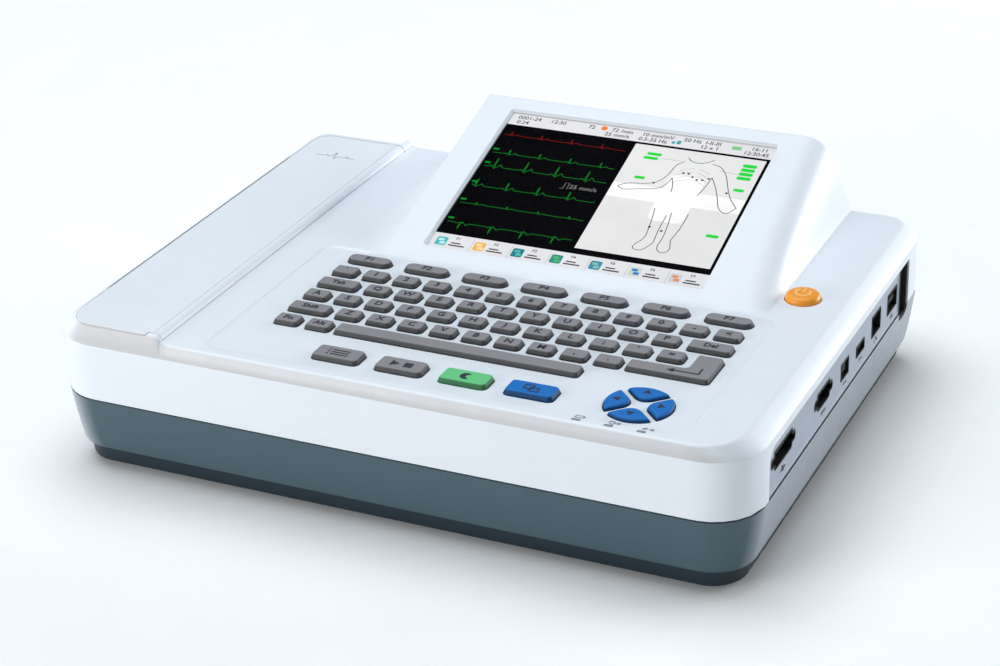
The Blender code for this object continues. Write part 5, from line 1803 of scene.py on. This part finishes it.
def make_battery_door():
    x, y, (low, high) = [span("battery_door", axis) for axis in range(3)]
    levels = ((-0.4, low), (0.0, low + 0.4), (0.0, high))

    def outline(grow):
        return rectangle(grown(x, grow), grown(y, grow), 2.6 + grow)

    door = levelled("battery_door_plate", outline, "z", levels)
    middle_x = (x[0] + x[1]) / 2
    finger = rectangle(about(middle_x, 14.0), (y[0] + 6.6, y[0] + 14.6), 3.8)
    grips = [rectangle(about(middle_x, 11.0), about(y[0] + 19.0 + 4.0 * i, 0.7), 0.6) for i in range(3)]
    ribs = [prism("rib", grip, "z", (0.0, low + 0.5)) for grip in grips]
    cut(door, prism("finger", finger, "z", (0.0, low + 1.4)), joined("grip", ribs))
    show_solid(door, "slate_plain", "battery_door")


def make_latch():
    """The latch button, dished where a finger pushes it."""
    (face_x, _), y, z = [span("lid_latch", axis) for axis in range(3)]
    sections = []
    for inset_y, inset_z, radius, depth in (
        (0.0, 0.0, 2.0, 5.0),
        (0.0, 0.0, 2.0, 0.5),
        (0.4, 0.4, 1.6, 0.0),
        (2.4, 2.4, 1.0, 0.0),
        (3.2, 2.9, 0.8, 0.6),
    ):
        outline = rectangle(grown(y, -inset_y), grown(z, -inset_z), radius)
        sections.append(lifted(outline, "x", face_x + depth))
    show_solid(loft("lid_latch_button", sections), "slate_plain", "lid_latch")


def dressed(node, look):
    """A CAD piece that is shown as it is, in its finish."""
    piece = frame["nodes"][node]
    piece.data.materials.clear()
    piece.data.materials.append(looks[look])
    return piece


def finish_cad_nodes():
    """Every CAD piece shown as it is, with a small bevel on its edges."""
    finishes = {
        "keypad_board": "keypad_board",
        "main_board": "main_board",
        "power_supply": "supply_board",
        "battery_pack": "battery",
        "speaker": "black",
        "display_bracket": "steel",
        "paper_bin": "slate_plain",
        "print_head": "steel",
        "tear_bar": "steel",
        "platen_gear": "acetal",
        "motor_pinion": "turned",
    }
    fine = ("platen_gear", "motor_pinion", "tear_bar")
    for node, look in finishes.items():
        bevel = dressed(node, look).modifiers.new("edges", "BEVEL")
        bevel.width = (0.12 if node in fine else 0.35) * MM
        bevel.segments = 2
        bevel.limit_method = "ANGLE"
        bevel.angle_limit = math.radians(40)


# ---------------------------------------------------------------- floor, light and camera
def make_floor():
    size = 6000.0
    floor = box("floor", about(0.0, size), about(0.0, size), (-10.0, -0.05))
    floor.data.materials.append(looks["floor"])


def make_world():
    """A pale sky that is dimmer to the camera than to the things it lights."""
    world = bpy.data.worlds.new("studio")
    bpy.context.scene.world = world
    world.use_nodes = True
    tree = world.node_tree
    background = tree.nodes["Background"]
    background.inputs["Color"].default_value = (0.88, 0.94, 1.0, 1.0)
    ray = tree.nodes.new("ShaderNodeLightPath")
    level = tree.nodes.new("ShaderNodeMapRange")
    level.inputs["To Min"].default_value = 0.2
    level.inputs["To Max"].default_value = 1.15
    tree.links.new(ray.outputs["Is Camera Ray"], level.inputs["Value"])
    tree.links.new(level.outputs["Result"], background.inputs["Strength"])


def softbox(name, place, target, size, power, colour):
    """A rectangular light that faces its target. Places and sizes are in metres."""
    light = bpy.data.lights.new(name, "AREA")
    light.shape = "RECTANGLE"
    light.size, light.size_y = size
    light.energy = power
    light.color = colour
    holder = linked(name, light)
    holder.location = place
    holder.rotation_euler = (Vector(target) - Vector(place)).to_track_quat("-Z", "Y").to_euler()


def make_lights():
    low_target = (0.0, 0.0, 0.06)
    softbox("top_softbox", (-0.5, 0.3, 2.4), (0.0, 0.0, 0.08), (2.4, 2.2), 52.0, (0.88, 0.955, 1.0))
    softbox("front_left_softbox", (-1.35, -1.95, 0.6), low_target, (1.6, 1.0), 32.5, (1.0, 0.995, 0.98))
    softbox("right_rear_softbox", (1.6, 1.8, 0.5), low_target, (1.8, 0.9), 42.0, (0.95, 0.975, 1.0))


def make_camera():
    """The camera as fitted to the photo: right of the front, looking down at the machine."""
    right = Vector((0.90919, 0.41541, -0.02836))
    down = Vector((0.15946, -0.41031, -0.89789))
    forward = Vector((-0.38463, 0.81184, -0.43930))
    camera = bpy.data.cameras.new("camera")
    camera.lens = 86.59
    camera.sensor_width = 36.0
    holder = linked("camera", camera)
    turn = Matrix((right, -down, -forward)).transposed().to_4x4()
    holder.matrix_world = Matrix.Translation((0.53042, -1.12188, 0.65317)) @ turn
    bpy.context.scene.camera = holder


make_cover()
make_lower_shell()
make_key_rows()
make_special_keys()
make_cursor_pad()
make_power_button()
make_lamps()
make_display()
make_port_panel()
make_sockets()
make_side_slot()
make_lid()
make_lid_pulse()
make_printer()
make_paper_web()
make_rear()
make_feet()
make_screws()
make_battery_door()
make_latch()
finish_cad_nodes()
make_floor()
make_world()
make_lights()
make_camera()
bpy.context.scene.view_settings.view_transform = "Standard"
